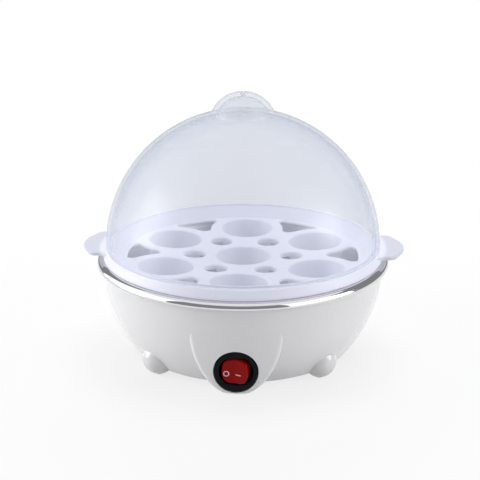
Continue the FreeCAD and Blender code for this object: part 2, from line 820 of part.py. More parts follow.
def element_straps():
    """Saddles that hold the ring element up against the dish."""
    straps = []
    inner = s.element_tube_radius + s.strap_gap
    outer = inner + s.strap_thickness
    axis_height = s.dish_floor_height - s.element_tube_radius
    for number, angle in enumerate((90, 150, 210, 270)):
        arch = rod(f"strap_arch_{number}", outer, s.strap_width, 0, -s.strap_width / 2, axis_height, "y")
        sides = block(f"strap_sides_{number}", outer * 2, s.strap_width, s.element_tube_radius, 0, 0, axis_height)
        flange = block(f"strap_flange_{number}", (outer + s.strap_flange) * 2, s.strap_width, s.strap_thickness,
                       0, 0, s.dish_floor_height - s.strap_thickness)
        top = block(f"strap_top_{number}", outer * 3, s.strap_width + s.overrun, outer, 0, 0, s.dish_floor_height)
        way = rod(f"strap_way_{number}", inner, s.strap_width + s.overrun, 0,
                  -(s.strap_width + s.overrun) / 2, axis_height, "y")
        slot = block(f"strap_slot_{number}", inner * 2, s.strap_width + s.overrun, outer, 0, 0, axis_height)
        strap = cut(f"element_strap_{number}", fused(f"strap_blank_{number}", [arch, sides, flange]),
                    fused(f"strap_cuts_{number}", [top, way, slot]))
        place(strap, s.element_circle_radius * cosine(angle), s.element_circle_radius * sine(angle), 0, angle)
        straps.append(strap)
    keep(gathered("element_straps", straps), "element_straps")


# Snap-disc thermostat, its bracket and nuts
def thermostat():
    top = s.dish_floor_height
    cap_low = top - s.thermostat_cap_height
    body_low = cap_low - s.thermostat_body_height
    body = new_body("thermostat")
    turned(body, "thermostat_turn", [(0, body_low), (s.thermostat_body_radius, body_low),
                                     (s.thermostat_body_radius, cap_low), (s.thermostat_cap_radius, cap_low),
                                     (s.thermostat_cap_radius, top), (0, top)])
    keep(body, "thermostat")

    bracket = new_body("thermostat_bracket")
    low = cap_low - s.bracket_thickness
    half = s.bracket_stud_spacing / 2 + s.bracket_ear
    side = s.bracket_width / 2
    ring = s.thermostat_cap_radius + s.bracket_thickness
    reach = chord(ring, side)
    sketch = sketch_on(bracket, "XY_Plane", "bracket_outline", low)
    outline(sketch, [(reach, -side), (half, -side), (half, side), (reach, side),
                     (0, ring, ring), (-reach, side, ring), (-half, side), (-half, -side), (-reach, -side),
                     (0, -ring, ring), (reach, -side, ring)])
    circles(sketch, s.thermostat_body_radius + s.slip_gap, [(0, 0)])
    circles(sketch, s.stud_radius + s.slip_gap,
            [(s.bracket_stud_spacing / 2, 0), (-s.bracket_stud_spacing / 2, 0)])
    pushed(bracket, "bracket_pad", sketch, s.bracket_thickness)
    keep(bracket, "thermostat_bracket")

    nuts = []
    for number, x in enumerate((s.bracket_stud_spacing / 2, -s.bracket_stud_spacing / 2)):
        hexagon = solid("Prism", f"nut_hexagon_{number}", Polygon=6, Circumradius=s.nut_radius,
                        Height=s.nut_height)
        place(hexagon, x, 0, low - s.nut_height)
        bore = rod(f"nut_bore_{number}", s.stud_radius + s.screw_gap, s.nut_height + s.overrun * 2, x, 0,
                   low - s.nut_height - s.overrun)
        nuts.append(cut(f"bracket_nut_{number}", hexagon, bore))
    keep(gathered("bracket_nuts", nuts), "bracket_nuts")

    tabs = [block(f"thermostat_tab_{number}", s.tab_thickness, s.tab_width, s.tab_length,
                  side_sign * s.thermostat_tab_spacing / 2, 0, body_low - s.tab_length)
            for number, side_sign in enumerate((-1, 1))]
    keep(gathered("thermostat_tabs", tabs), "thermostat_tabs")
    return body_low


# Terminal block at the back, with its brass sleeves and clamp screws
def terminal_block():
    middle = s.block_rear_distance - s.block_depth / 2
    pole_height = s.floor_height + s.block_height / 2
    box = block("block_blank", s.block_width, s.block_depth, s.block_height, 0, middle, s.floor_height)
    ways = []
    sleeves = []
    screws = []
    for pole in range(4):
        x = (pole - 1.5) * s.block_pitch
        front = s.block_rear_distance - s.block_depth
        ways.append(rod(f"pole_way_{pole}", s.sleeve_radius + s.screw_gap, s.block_depth + s.overrun * 2, x,
                        front - s.overrun, pole_height, "y"))
        outside = rod(f"sleeve_outside_{pole}", s.sleeve_radius, s.block_depth, x, front, pole_height, "y")
        inside = [rod(f"sleeve_bore_{pole}", s.sleeve_bore_radius, s.block_depth + s.overrun * 2, x,
                      front - s.overrun, pole_height, "y")]
        for side in (-1, 1):
            tag = f"{pole}_{side + 1}"
            y = middle + side * s.clamp_screw_pitch / 2
            ways.append(rod(f"screw_well_{tag}", s.clamp_screw_radius + s.slip_gap, s.block_height, x, y,
                            pole_height))
            inside.append(rod(f"sleeve_thread_{tag}", s.clamp_screw_radius + s.screw_gap,
                              s.sleeve_radius + s.overrun, x, y, pole_height))
            screw = rod(f"clamp_screw_{tag}", s.clamp_screw_radius,
                        s.block_height / 2 - s.lead_radius - s.slip_gap, x, y,
                        pole_height + s.lead_radius + s.slip_gap)
            slot = block(f"clamp_slot_{tag}", s.clamp_screw_radius * 3, s.clamp_screw_radius / 2,
                         s.clamp_screw_radius, x, y, s.floor_height + s.block_height - s.clamp_screw_radius / 2)
            screws.append(cut(f"clamp_screw_slotted_{tag}", screw, slot))
        sleeves.append(cut(f"pole_sleeve_{pole}", outside, fused(f"sleeve_cuts_{pole}", inside)))
    keep(cut("terminal_block", box, fused("block_cuts", ways)), "terminal_block")
    keep(gathered("terminal_sleeves", sleeves), "terminal_sleeves")
    keep(gathered("clamp_screws", screws), "clamp_screws")
    link = block("terminal_link", s.block_pitch + s.sleeve_radius, s.tab_thickness, s.sleeve_radius, 0,
                 s.block_rear_distance + s.tab_thickness / 2, pole_height - s.sleeve_radius / 2)
    keep(link, "terminal_link")
    return pole_height


# Cord gland in the back wall
def gland():
    body = new_body("cord_gland")
    inner = s.gland_inner_distance
    outer = s.gland_boss_distance + s.gland_flange_thickness
    turned(body, "gland_turn", [(s.gland_bore_radius, inner), (s.gland_neck_radius, inner),
                                (s.gland_catch_radius, s.gland_catch_distance),
                                (s.gland_neck_radius, s.gland_catch_distance),
                                (s.gland_neck_radius, s.gland_boss_distance),
                                (s.gland_flange_radius, s.gland_boss_distance),
                                (s.gland_flange_radius, outer - s.gland_flange_thickness / 3),
                                (s.gland_flange_radius - s.gland_flange_thickness / 3, outer),
                                (s.gland_bore_radius, outer)], role="XY_Plane")
    place(body, z=s.gland_height)
    keep(body, "cord_gland")


# Rocker switch. Its pieces are drawn with the panel seat at y = 0, outwards along -Y.
def at_switch(thing):
    return place(thing, 0, -s.seat_distance, s.switch_height)


def switch_housing():
    body = new_body("switch_housing")
    bezel = s.bezel_radius
    front = -s.bezel_height
    small = s.bezel_round
    turned(body, "switch_turn", [(0, front), (bezel - small, front), (bezel, front + small, small),
                                 (bezel, 0), (s.switch_body_radius, 0),
                                 (s.switch_body_radius, s.switch_body_depth), (0, s.switch_body_depth)],
           role="XY_Plane")
    side = chord(s.window_radius, s.window_half_height)
    sketch = sketch_on(body, "XZ_Plane", "window_outline", -front + s.overrun)
    outline(sketch, [(-side, -s.window_half_height), (side, -s.window_half_height),
                     (side, s.window_half_height, s.window_radius), (-side, s.window_half_height),
                     (-side, -s.window_half_height, s.window_radius)])
    depth = s.overrun + s.bezel_height + s.switch_body_depth - s.switch_floor
    pushed(body, "window_pocket", sketch, depth, "PartDesign::Pocket")
    pins = sketch_on(body, "XY_Plane", "pivot_circle")
    circles(pins, s.rocker_pin_radius + s.screw_gap, [(0, s.pivot_depth)])
    reach = s.window_half_height + s.rocker_pin_reach + s.slip_gap
    pushed(body, "pivot_holes", pins, reach * 2, "PartDesign::Pocket", both=True)
    slots = sketch_on(body, "XZ_Plane", "tab_slots", -s.switch_body_depth)
    half = s.tab_width / 2 + s.screw_gap
    thin = s.tab_thickness / 2 + s.screw_gap
    for x in (-s.switch_tab_pitch, 0, s.switch_tab_pitch):
        outline(slots, [(x - thin, -half), (x + thin, -half), (x + thin, half), (x - thin, half)])
    pushed(body, "tab_ways", slots, s.switch_floor * 2, "PartDesign::Pocket", both=True)
    catches = sketch_on(body, "XY_Plane", "catch_outline")
    near = s.panel_thickness + s.slip_gap
    out = s.switch_hole_radius + s.catch_width / 4
    for side_sign in (-1, 1):
        root_x = side_sign * (s.switch_body_radius - s.switch_floor / 2)
        steps = [(root_x, near), (side_sign * out, near), (root_x, near + s.catch_depth)]
        outline(catches, steps if side_sign > 0 else steps[::-1])
    pushed(body, "catches", catches, s.catch_width, both=True)
    keep(at_switch(body), "switch_housing")


def switch_rocker():
    """Modelled level about its pivot, then turned to the off position."""
    body = new_body("rocker_blank")
    ends = s.rocker_half_width
    height = s.rocker_end_height
    valley = height - ends * sine(s.rocker_angle) / cosine(s.rocker_angle)
    wide = s.window_radius - s.slip_gap * 3
    sketch = sketch_on(body, "XY_Plane", "rocker_outline")
    outline(sketch, [(-ends, -height), (0, -valley), (ends, -height), (wide, 0), (ends, s.rocker_skirt),
                     (-ends, s.rocker_skirt), (-wide, 0)])
    pushed(body, "rocker_pad", sketch, s.rocker_half_height * 2, both=True)
    ball = solid("Sphere", "rocker_ball", Radius=s.rocker_sphere_radius)
    shaped = doc.addObject("Part::MultiCommon", "rocker_shaped")
    shaped.Shapes = [body, ball]
    pins = rod("rocker_pins", s.rocker_pin_radius, (s.rocker_half_height + s.rocker_pin_reach) * 2,
               z=-(s.rocker_half_height + s.rocker_pin_reach))
    guide = rod("plunger_guide", s.plunger_tube_radius, s.plunger_tube_length, 0, 0, 0, "y")
    bore = rod("plunger_bore", s.plunger_radius + s.screw_gap, s.plunger_tube_length, 0, s.rocker_skirt / 2, 0,
               "y")
    rocker = cut("switch_rocker", fused("rocker_whole", [shaped, pins, guide]), bore)
    contact_top = s.fulcrum_depth - s.fulcrum_radius - s.seat_gap - s.contact_thickness
    plunger_start = contact_top - s.pivot_depth - s.plunger_gap
    stem = rod("plunger_stem", s.plunger_radius, s.plunger_length - s.plunger_radius, 0,
               plunger_start - s.plunger_length, 0, "y")
    tip = place(solid("Sphere", "plunger_tip", Radius=s.plunger_radius), 0, plunger_start - s.plunger_radius, 0)
    plunger = fused("rocker_plunger", [stem, tip])
    for thing, label in ((rocker, "switch_rocker"), (plunger, "rocker_plunger")):
        place(thing, 0, s.pivot_depth - s.seat_distance, s.switch_height, -s.rocker_angle)
        keep(thing, label)

    spring_start = s.rocker_skirt / 2 + s.spring_wire_radius * 2
    spring_end = plunger_start - s.plunger_length - s.spring_wire_radius * 2
    pitch = (spring_end - spring_start).number / s.spring_turns.number
    path = Part.makeHelix(pitch, (spring_end - spring_start).number, s.spring_radius.number - s.spring_wire_radius.number)
    spring = doc.addObject("Part::Feature", "plunger_spring")
    section = Part.Wire(Part.makeCircle(s.spring_wire_radius.number,
                                        Vector(s.spring_radius.number - s.spring_wire_radius.number, 0, 0),
                                        Vector(0, 1, 0)))
    coil = Part.Wire(path.Edges).makePipeShell([section], True, True)
    turn = Placement(Vector(0, spring_start.number, 0), Rotation(Vector(1, 0, 0), -90))
    tilt = Placement(Vector(0, (s.pivot_depth - s.seat_distance).number, s.switch_height.number),
                     Rotation(Vector(0, 0, 1), -s.rocker_angle.number))
    spring.Shape = coil
    spring.Placement = tilt * turn
    keep(spring, "plunger_spring")


def switch_contacts():
    body = new_body("moving_contact")
    half = s.contact_half_length
    under = s.fulcrum_radius + s.seat_gap
    top = under + s.contact_thickness
    sketch = sketch_on(body, "XY_Plane", "contact_outline")
    outline(sketch, [(-half, -top), (half, -top), (half, -under), (-half, -under)])
    pushed(body, "contact_pad", sketch, s.contact_width, both=True)
    place(body, 0, s.fulcrum_depth - s.seat_distance, s.switch_height, s.contact_angle)
    keep(body, "moving_contact")

    end = s.switch_body_depth + s.switch_tab_reach
    common_post = block("common_tab", s.tab_thickness, end - s.fulcrum_depth, s.tab_width, 0,
                        (end + s.fulcrum_depth) / 2, -s.tab_width / 2)
    fulcrum = rod("common_fulcrum", s.fulcrum_radius, s.tab_width, 0, s.fulcrum_depth, -s.tab_width / 2)
    common_tab = fused("common_terminal", [common_post, fulcrum])

    reach = half - s.contact_thickness
    anvil_depth = (s.fulcrum_depth - under / cosine(s.contact_angle)
                   + reach * sine(s.contact_angle) / cosine(s.contact_angle) + s.seat_gap * 2)
    anvil = block("load_anvil", s.contact_thickness * 3, s.tab_thickness, s.contact_width, -reach,
                  anvil_depth + s.tab_thickness / 2, -s.contact_width / 2)
    load_post = block("load_tab", s.tab_thickness, end - anvil_depth, s.tab_width, -s.switch_tab_pitch,
                      (end + anvil_depth) / 2, -s.tab_width / 2)
    load_tab = fused("load_terminal", [anvil, load_post])

    lamp_start = s.switch_body_depth - s.switch_floor * 2
    lamp_tab = block("lamp_terminal", s.tab_thickness, end - lamp_start, s.tab_width, s.switch_tab_pitch,
                     (end + lamp_start) / 2, -s.tab_width / 2)
    keep(at_switch(gathered("switch_terminals", [common_tab, load_tab, lamp_tab])), "switch_terminals")

    glass = rod("lamp_glass", s.lamp_radius, s.lamp_length, s.switch_tab_pitch, s.lamp_depth, -s.lamp_length / 2)
    legs = [rod(f"lamp_leg_{number}", s.lamp_leg_radius,
                lamp_start - s.lamp_depth - s.seat_gap, s.switch_tab_pitch, s.lamp_depth,
                side * s.lamp_length / 4, "y") for number, side in enumerate((-1, 1))]
    keep(at_switch(fused("neon_lamp", [glass] + legs)), "neon_lamp")


# Egg tray: a dished plate with cups, steam holes and vents, inside a folded rim with two ears
def plate_face(distance, drop=0):
    """The height of the plate's top face at a distance from the middle, less a drop."""
    return s.tray_centre_height + s.plate_slope * distance - drop


def cup_meets(wall, drop):
    """The distance from the middle at which the middle cup's wall meets a face of the plate."""
    rise = s.tray_centre_height - drop - s.cup_low_height
    return (s.cup_end_radius + wall + s.cup_slope * rise) / (1 - s.cup_slope * s.plate_slope)


def tray_lines():
    wall = s.tray_wall
    bore_top = cup_meets(0, 0)
    sleeve_top = cup_meets(s.cup_wall, wall)
    rib_outer = s.lid_radius - s.lid_wall - s.slip_gap * 2
    rib_inner = rib_outer - s.tray_rib_width
    run = rib_inner - s.tray_foot_radius
    rise = s.tray_lip_height - s.tray_plate_height
    slope = root(run * run + rise * rise)
    foot_under = s.tray_foot_radius + wall * (slope - run) / rise
    skirt_low = s.flange_top_height + s.seat_gap
    lean = (s.tray_skirt_radius - s.tray_lip_radius) / (s.tray_lip_height - skirt_low)
    ceiling = s.tray_lip_height - wall
    skirt_inner = s.tray_skirt_radius - s.tray_skirt_wall
    return [(s.cup_end_radius, s.cup_low_height),
            (s.cup_end_radius + s.cup_wall, s.cup_low_height),
            (sleeve_top, plate_face(sleeve_top, wall)),
            (s.tray_plate_radius, s.tray_plate_height - wall),
            (foot_under, s.tray_plate_height - wall),
            (foot_under + run, ceiling),
            (skirt_inner - (ceiling - skirt_low) * lean, ceiling),
            (skirt_inner, skirt_low),
            (s.tray_skirt_radius, skirt_low),
            (s.tray_lip_radius, s.tray_lip_height),
            (rib_outer, s.tray_lip_height),
            (rib_outer, s.tray_lip_height + s.tray_rib_height),
            (rib_inner, s.tray_lip_height + s.tray_rib_height),
            (rib_inner, s.tray_lip_height),
            (s.tray_foot_radius, s.tray_plate_height),
            (s.tray_plate_radius, s.tray_plate_height),
            (bore_top, plate_face(bore_top))]


def cone_feature(body, name, kind, low_radius, high_radius, height, x, y, z):
    feature = body.newObject(f"PartDesign::{kind}", name)
    bind(feature, "Radius1", low_radius)
    bind(feature, "Radius2", high_radius)
    bind(feature, "Height", height)
    place(feature, x, y, z)
    doc.recompute()
    return feature


def rod_feature(body, name, kind, radius, height, x, y, z):
    feature = body.newObject(f"PartDesign::{kind}", name)
    bind(feature, "Radius", radius)
    bind(feature, "Height", height)
    place(feature, x, y, z)
    doc.recompute()
    return feature


def vent_outline(sketch):
    """A vent between two cups: sides that follow the cups, and an outer edge that follows the plate."""
    cup_x = s.cup_circle_radius * cosine(30)
    cup_y = s.cup_circle_radius * sine(30)
    side = s.vent_side_radius
    tip = s.vent_tip_distance
    wide = s.vent_wide_distance
    tip_half = cup_y - chord(side, tip - cup_x)
    wide_half = cup_y - chord(side, wide - cup_x)
    outer_half = wide_half - s.vent_corner_round / 3
    outer = chord(s.vent_outer_radius, outer_half)
    outline(sketch, [(tip, -tip_half), (wide, -wide_half, -side), (outer, -outer_half, s.vent_corner_round),
                     (outer, outer_half, s.vent_outer_radius), (wide, wide_half, s.vent_corner_round),
                     (tip, tip_half, -side), (tip, -tip_half, tip_half + s.vent_tip_ease)])


def ear_outline(sketch):
    """A rounded ear whose sides blend into the rim."""
    rim = (s.lid_radius - s.lid_wall + s.tray_lip_radius) / 2
    end = s.ear_reach - s.ear_end_radius + chord(s.ear_end_radius, s.ear_end_half_width)
    start = chord(rim, s.ear_root_half_width)
    outline(sketch, [(start, -s.ear_root_half_width),
                     (s.ear_shoulder_reach, -s.ear_half_width, -s.ear_blend_radius),
                     (end, -s.ear_end_half_width, s.ear_corner_radius),
                     (end, s.ear_end_half_width, s.ear_end_radius),
                     (s.ear_shoulder_reach, s.ear_half_width, s.ear_corner_radius),
                     (start, s.ear_root_half_width, -s.ear_blend_radius),
                     (start, -s.ear_root_half_width, -rim)])


def egg_tray():
    """The sleeves under the plate end inside its thickness, and the bores go through both."""
    body = new_body("egg_tray")
    turned(body, "tray_turn", tray_lines())
    plate = s.tray_plate_height
    low = s.cup_low_height
    high = plate + s.overrun
    cup_x = s.cup_circle_radius * cosine(30)
    cup_y = s.cup_circle_radius * sine(30)
    tube_low = plate - s.tray_wall - s.steam_hole_depth
    sleeve = s.cup_end_radius + s.cup_wall
    tall = plate_face(s.cup_circle_radius - s.cup_radius, s.seat_gap) - low
    cup = cone_feature(body, "ring_cup", "AdditiveCone", sleeve, sleeve + tall * s.cup_slope, tall,
                       cup_x, cup_y, low)
    collar_top = plate_face(s.steam_hole_circle_radius - s.steam_hole_radius, s.seat_gap)
    collar = rod_feature(body, "steam_collar", "AdditiveCylinder", s.steam_hole_radius + s.cup_wall,
                         collar_top - tube_low, s.steam_hole_circle_radius, 0, tube_low)
    patterned(body, "cups_and_collars", [cup, collar], 6)
    bore = cone_feature(body, "ring_cup_bore", "SubtractiveCone", s.cup_end_radius - s.cup_slope * s.overrun,
                        s.cup_radius, high - low + s.overrun, cup_x, cup_y, low - s.overrun)
    hole = rod_feature(body, "steam_hole", "SubtractiveCylinder", s.steam_hole_radius,
                       high - tube_low + s.overrun, s.steam_hole_circle_radius, 0, tube_low - s.overrun)
    vents = sketch_on(body, "XY_Plane", "vent_sketch", high)
    vent_outline(vents)
    vent = pushed(body, "vent", vents, s.overrun * 2 + s.tray_wall + plate - s.tray_centre_height,
                  "PartDesign::Pocket")
    patterned(body, "bores_and_vents", [bore, hole, vent], 6)
    ears = sketch_on(body, "XY_Plane", "ear_sketch", s.tray_lip_height - s.ear_drop - s.ear_thickness)
    ear_outline(ears)
    ear = pushed(body, "ear", ears, s.ear_thickness)
    patterned(body, "ears", [ear], 2)
    keep(body, "egg_tray")


# Lid: a hollow dome with the knob moulded into its top
def knob_seam(dome, knob, fillet):
    """Where a fillet between the dome and the knob, both balls on the axis, touches each of them."""
    span = s.knob_centre_height - s.lid_centre_height
    far = dome + fillet
    near = knob + fillet
    along = (far * far - near * near + span * span) / (span * 2)
    out = chord(far, along)
    return ((out * dome / far, s.lid_centre_height + along * dome / far),
            (out * knob / near, s.knob_centre_height + (along - span) * knob / near))


def lid():
    body = new_body("lid")
    low = s.tray_lip_height + s.seat_gap
    inner = s.lid_radius - s.lid_wall
    top = s.knob_top_height
    wall = s.knob_wall
    hollow = s.knob_radius - wall
    rise = low - s.lid_centre_height
    on_dome, on_knob = knob_seam(s.lid_radius, s.knob_radius, s.knob_fillet)
    corner = knob_seam(inner, hollow, 0)[0]
    turned(body, "lid_turn", [
        (chord(inner, rise), low),
        (chord(s.lid_radius, rise), low),
        (*on_dome, s.lid_radius),
        (*on_knob, -s.knob_fillet),
        (0, top, s.knob_radius),
        (0, top - wall),
        (*corner, -hollow),
        (chord(inner, rise), low, -inner)])
    wide = s.groove_width / 2 * (s.groove_depth + s.overrun) / s.groove_depth
    groove = sketch_on(body, "XZ_Plane", "groove_outline")
    outline(groove, [(0, top - s.groove_depth), (wide, top + s.overrun), (-wide, top + s.overrun)])
    pushed(body, "groove", groove, s.knob_radius * 2 + s.overrun, "PartDesign::Pocket", both=True)
    vent = sketch_on(body, "XY_Plane", "steam_vent_circle", top + s.overrun)
    circles(vent, s.steam_vent_radius, [(0, 0)])
    pushed(body, "steam_vent", vent, s.overrun * 2 + wall, "PartDesign::Pocket")
    keep(body, "lid")


# Leads and spade receptacles
def spade(name, x, y, z, along):
    """A receptacle pushed over a tab whose middle line starts at the point. It runs along +Y or -Z."""
    wide = s.tab_width + s.spade_wall * 2
    thick = s.tab_thickness + s.spade_wall * 2
    slot_wide = s.tab_width + s.screw_gap * 2
    slot_thick = s.tab_thickness + s.screw_gap * 2
    if along == "y":
        shell = block(f"{name}_shell", thick, s.spade_length, wide, x, y + s.spade_length / 2, z - wide / 2)
        slot = block(f"{name}_slot", slot_thick, s.spade_length, slot_wide, x,
                     y + s.spade_length / 2 - s.spade_wall, z - slot_wide / 2)
    else:
        shell = block(f"{name}_shell", thick, wide, s.spade_length, x, y, z - s.spade_length)
        slot = block(f"{name}_slot", slot_thick, slot_wide, s.spade_length, x, y,
                     z - s.spade_length + s.spade_wall)
    return cut(name, shell, slot)


def lead_path(points):
    """Straight runs joined by tangent arcs, each as large as its two runs allow."""
    edges = []
    here = points[0]
    for before, corner, after in zip(points, points[1:], points[2:]):
        arriving = (corner - before).normalize()
        leaving = (after - corner).normalize()
        half_turn = math.acos(max(-1, min(1, arriving.dot(leaving)))) / 2
        shorter = min((corner - before).Length, (after - corner).Length)
        setback = 0.45 * shorter
        radius = setback / math.tan(half_turn)
        start = corner - arriving * setback
        end = corner + leaving * setback
        inward = (leaving - arriving).normalize()
        middle = corner + inward * (radius / math.cos(half_turn) - radius)
        edges.append(Part.makeLine(here, start))
        edges.append(arc_through(start, middle, end))
        here = end
    edges.append(Part.makeLine(here, points[-1]))
    return Part.Wire(edges)


def lead(label, points):
    keep(tube(label, lead_path(points), s.lead_radius.number), label)


lead_drop_share = 0.74


def wiring(element_ends, thermostat_low, pole_height):
    tab_end = s.switch_body_depth + s.switch_tab_reach - s.seat_distance
    spade_start = tab_end - s.spade_length + s.spade_wall + s.slip_gap
    thermostat_end = thermostat_low - s.tab_length
    spade_top = thermostat_end + s.spade_length - s.spade_wall - s.slip_gap
    spades = [spade(f"switch_spade_{number}", x, spade_start, s.switch_height, "y")
              for number, x in enumerate((-s.switch_tab_pitch, 0, s.switch_tab_pitch))]
    spades += [spade(f"thermostat_spade_{number}", side * s.thermostat_tab_spacing / 2, 0, spade_top, "z")
               for number, side in enumerate((-1, 1))]
    keep(gathered("spade_receptacles", spades), "spade_receptacles")

    switch_exit = (spade_start + s.spade_length).number
    level = s.switch_height.number
    thermostat_exit = (spade_top - s.spade_length).number
    run = s.lead_run_height.number
    front = (s.block_rear_distance - s.block_depth + s.lead_bare_length).number
    pole = pole_height.number
    poles = [(place_share - 1.5) * s.block_pitch.number for place_share in range(4)]
    tab = s.switch_tab_pitch.number
    half_tab = s.thermostat_tab_spacing.number / 2
    straight = s.lead_straight.number
    side = s.lead_side_reach.number
    drop = (thermostat_exit - run) * lead_drop_share
    low_end, high_end = element_ends
    pin_low = s.pin_low_height.number

    lead("live_lead", [Vector(poles[0], front, pole), Vector(poles[0], front - straight, pole),
                       Vector(-side, straight, run), Vector(-side / 2, -straight, run),
                       Vector(0, switch_exit + straight, level), Vector(0, switch_exit, level)])
    lead("switched_lead", [Vector(-tab, switch_exit, level), Vector(-tab, switch_exit + straight, level),
                           Vector(-half_tab - drop, -straight, thermostat_exit - drop / 2),
                           Vector(-half_tab, 0, thermostat_exit - drop),
                           Vector(-half_tab, 0, thermostat_exit)])
    lead("lamp_lead", [Vector(tab, switch_exit, level), Vector(tab, switch_exit + straight, level),
                       Vector(tab / 4, -straight, run), Vector(-tab / 4, drop, run),
                       Vector(poles[1], front - straight, pole), Vector(poles[1], front, pole)])

    fuse_height = s.fuse_height.number
    fuse_in = Vector(s.fuse_start_reach.number, -half_tab, fuse_height)
    fuse_out = Vector(low_end.x, low_end.y, fuse_height)
    along = (fuse_out - fuse_in).normalize()
    middle = (fuse_in + fuse_out) * 0.5
    half_fuse = s.fuse_length.number / 2
    fuse = doc.addObject("Part::Feature", "thermal_fuse")
    fuse.Shape = Part.makeCylinder(s.fuse_radius.number, half_fuse * 2, middle - along * half_fuse, along)
    keep(fuse, "thermal_fuse")
    lead("heater_lead", [Vector(half_tab, 0, thermostat_exit),
                         Vector(half_tab, 0, thermostat_exit - drop), fuse_in,
                         middle - along * half_fuse])
    lead("fuse_lead", [middle + along * half_fuse, fuse_out, Vector(low_end.x, low_end.y, pin_low)])
    lead("neutral_lead", [Vector(high_end.x, high_end.y, pin_low),
                          Vector(high_end.x, high_end.y, run),
                          Vector(side * 2, side, run), Vector(side, front - straight - drop, run),
                          Vector(poles[2], front - straight, pole), Vector(poles[2], front, pole)])

    # earth tag on its stud: a ring, a tongue and a barrel that takes the lead from below
    angle = s.earth_stud_angle
    stud_x = s.boss_circle_radius * cosine(angle)
    stud_y = s.boss_circle_radius * sine(angle)
    top = s.dish_floor_height
    ring = rod("earth_ring", s.earth_tag_radius, s.tab_thickness, 0, 0, top - s.tab_thickness)
    tongue = block("earth_tongue", s.earth_barrel_radius * 2, s.earth_tag_reach, s.tab_thickness, 0,
                   s.earth_tag_reach / 2, top - s.tab_thickness)
    barrel = rod("earth_barrel", s.earth_barrel_radius, s.earth_barrel_length, 0, s.earth_tag_reach,
                 top - s.earth_barrel_length)
    hole = rod("earth_hole", s.stud_radius + s.screw_gap, s.tab_thickness + s.overrun * 2, 0, 0,
               top - s.tab_thickness - s.overrun)
    tag = cut("earth_tag", fused("earth_tag_blank", [ring, tongue, barrel]), hole)
    keep(place(tag, stud_x, stud_y, 0, angle), "earth_tag")
    hexagon = solid("Prism", "earth_nut_hexagon", Polygon=6, Circumradius=s.nut_radius, Height=s.nut_height)
    place(hexagon, stud_x, stud_y, top - s.tab_thickness - s.nut_height)
    bore = rod("earth_nut_bore", s.stud_radius + s.screw_gap, s.nut_height + s.overrun * 2, stud_x, stud_y,
               top - s.tab_thickness - s.nut_height - s.overrun)
    keep(cut("earth_nut", hexagon, bore), "earth_nut")
    turn = math.radians(angle.number)
    barrel_x = stud_x.number - s.earth_tag_reach.number * math.sin(turn)
    barrel_y = stud_y.number + s.earth_tag_reach.number * math.cos(turn)
    barrel_low = (top - s.earth_barrel_length).number
    lead("earth_lead", [Vector(poles[3], front, pole), Vector(poles[3], front - straight, pole),
                        Vector(side + drop, front - straight - drop, run + drop / 2),
                        Vector(barrel_x, barrel_y, barrel_low - straight),
                        Vector(barrel_x, barrel_y, barrel_low)])


def main():
    housing()
    screws_and_pillars()
    dish()
    ends = element()
    element_straps()
    low = thermostat()
    pole_height = terminal_block()
    gland()
    switch_housing()
    switch_rocker()
    switch_contacts()
    wiring(ends, low, pole_height)
    egg_tray()
    lid()


main()
doc.recompute()

for thing in doc.Objects:
    if "Invalid" in thing.State or "Error" in thing.State:
        raise RuntimeError(f"{thing.Label} failed: {thing.State}")
os.makedirs("parts", exist_ok=True)
for thing in parts:
    shape = thing.Shape
    if shape.isNull() or not shape.isValid() or not shape.Solids:
        raise RuntimeError(f"{thing.Label} has no valid solid")
    shape.exportStep(f"parts/{thing.Label}.step")
    box = shape.optimalBoundingBox()
    print(f"{thing.Label}: {len(shape.Solids)} solids, {shape.Volume:.0f} mm3, "
          f"z {box.ZMin:.2f} to {box.ZMax:.2f}")
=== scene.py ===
import json
import math

import bmesh
import bpy
import numpy as np
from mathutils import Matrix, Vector


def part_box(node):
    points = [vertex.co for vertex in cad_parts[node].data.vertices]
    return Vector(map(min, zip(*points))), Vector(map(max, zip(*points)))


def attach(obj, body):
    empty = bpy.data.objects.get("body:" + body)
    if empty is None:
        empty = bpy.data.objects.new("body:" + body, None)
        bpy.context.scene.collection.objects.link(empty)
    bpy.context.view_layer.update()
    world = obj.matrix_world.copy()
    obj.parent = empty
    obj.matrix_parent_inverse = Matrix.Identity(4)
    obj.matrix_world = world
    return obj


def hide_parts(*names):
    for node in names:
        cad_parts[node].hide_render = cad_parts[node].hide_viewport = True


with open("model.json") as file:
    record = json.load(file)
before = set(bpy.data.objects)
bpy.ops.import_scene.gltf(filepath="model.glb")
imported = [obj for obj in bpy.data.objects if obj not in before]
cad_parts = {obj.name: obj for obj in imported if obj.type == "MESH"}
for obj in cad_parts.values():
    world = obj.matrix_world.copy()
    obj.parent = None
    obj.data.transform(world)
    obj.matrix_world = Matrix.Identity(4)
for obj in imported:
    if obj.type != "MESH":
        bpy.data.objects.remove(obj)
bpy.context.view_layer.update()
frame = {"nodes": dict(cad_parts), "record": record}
print("frame loaded:", len(frame["nodes"]), "nodes")


# Shader wiring: a Wire is an output socket, and sums on it add Math nodes
class Wire:
    def __init__(self, finish, socket):
        self.finish = finish
        self.socket = socket

    def worked(self, operation, first, second):
        return self.finish.node("Math", {"operation": operation}, {0: first, 1: second})

    def __add__(self, other):
        return self.worked("ADD", self, other)

    def __radd__(self, other):
        return self.worked("ADD", other, self)

    def __sub__(self, other):
        return self.worked("SUBTRACT", self, other)

    def __rsub__(self, other):
        return self.worked("SUBTRACT", other, self)

    def __mul__(self, other):
        return self.worked("MULTIPLY", self, other)

    def __rmul__(self, other):
        return self.worked("MULTIPLY", other, self)

    def __pow__(self, other):
        return self.worked("POWER", self, other)


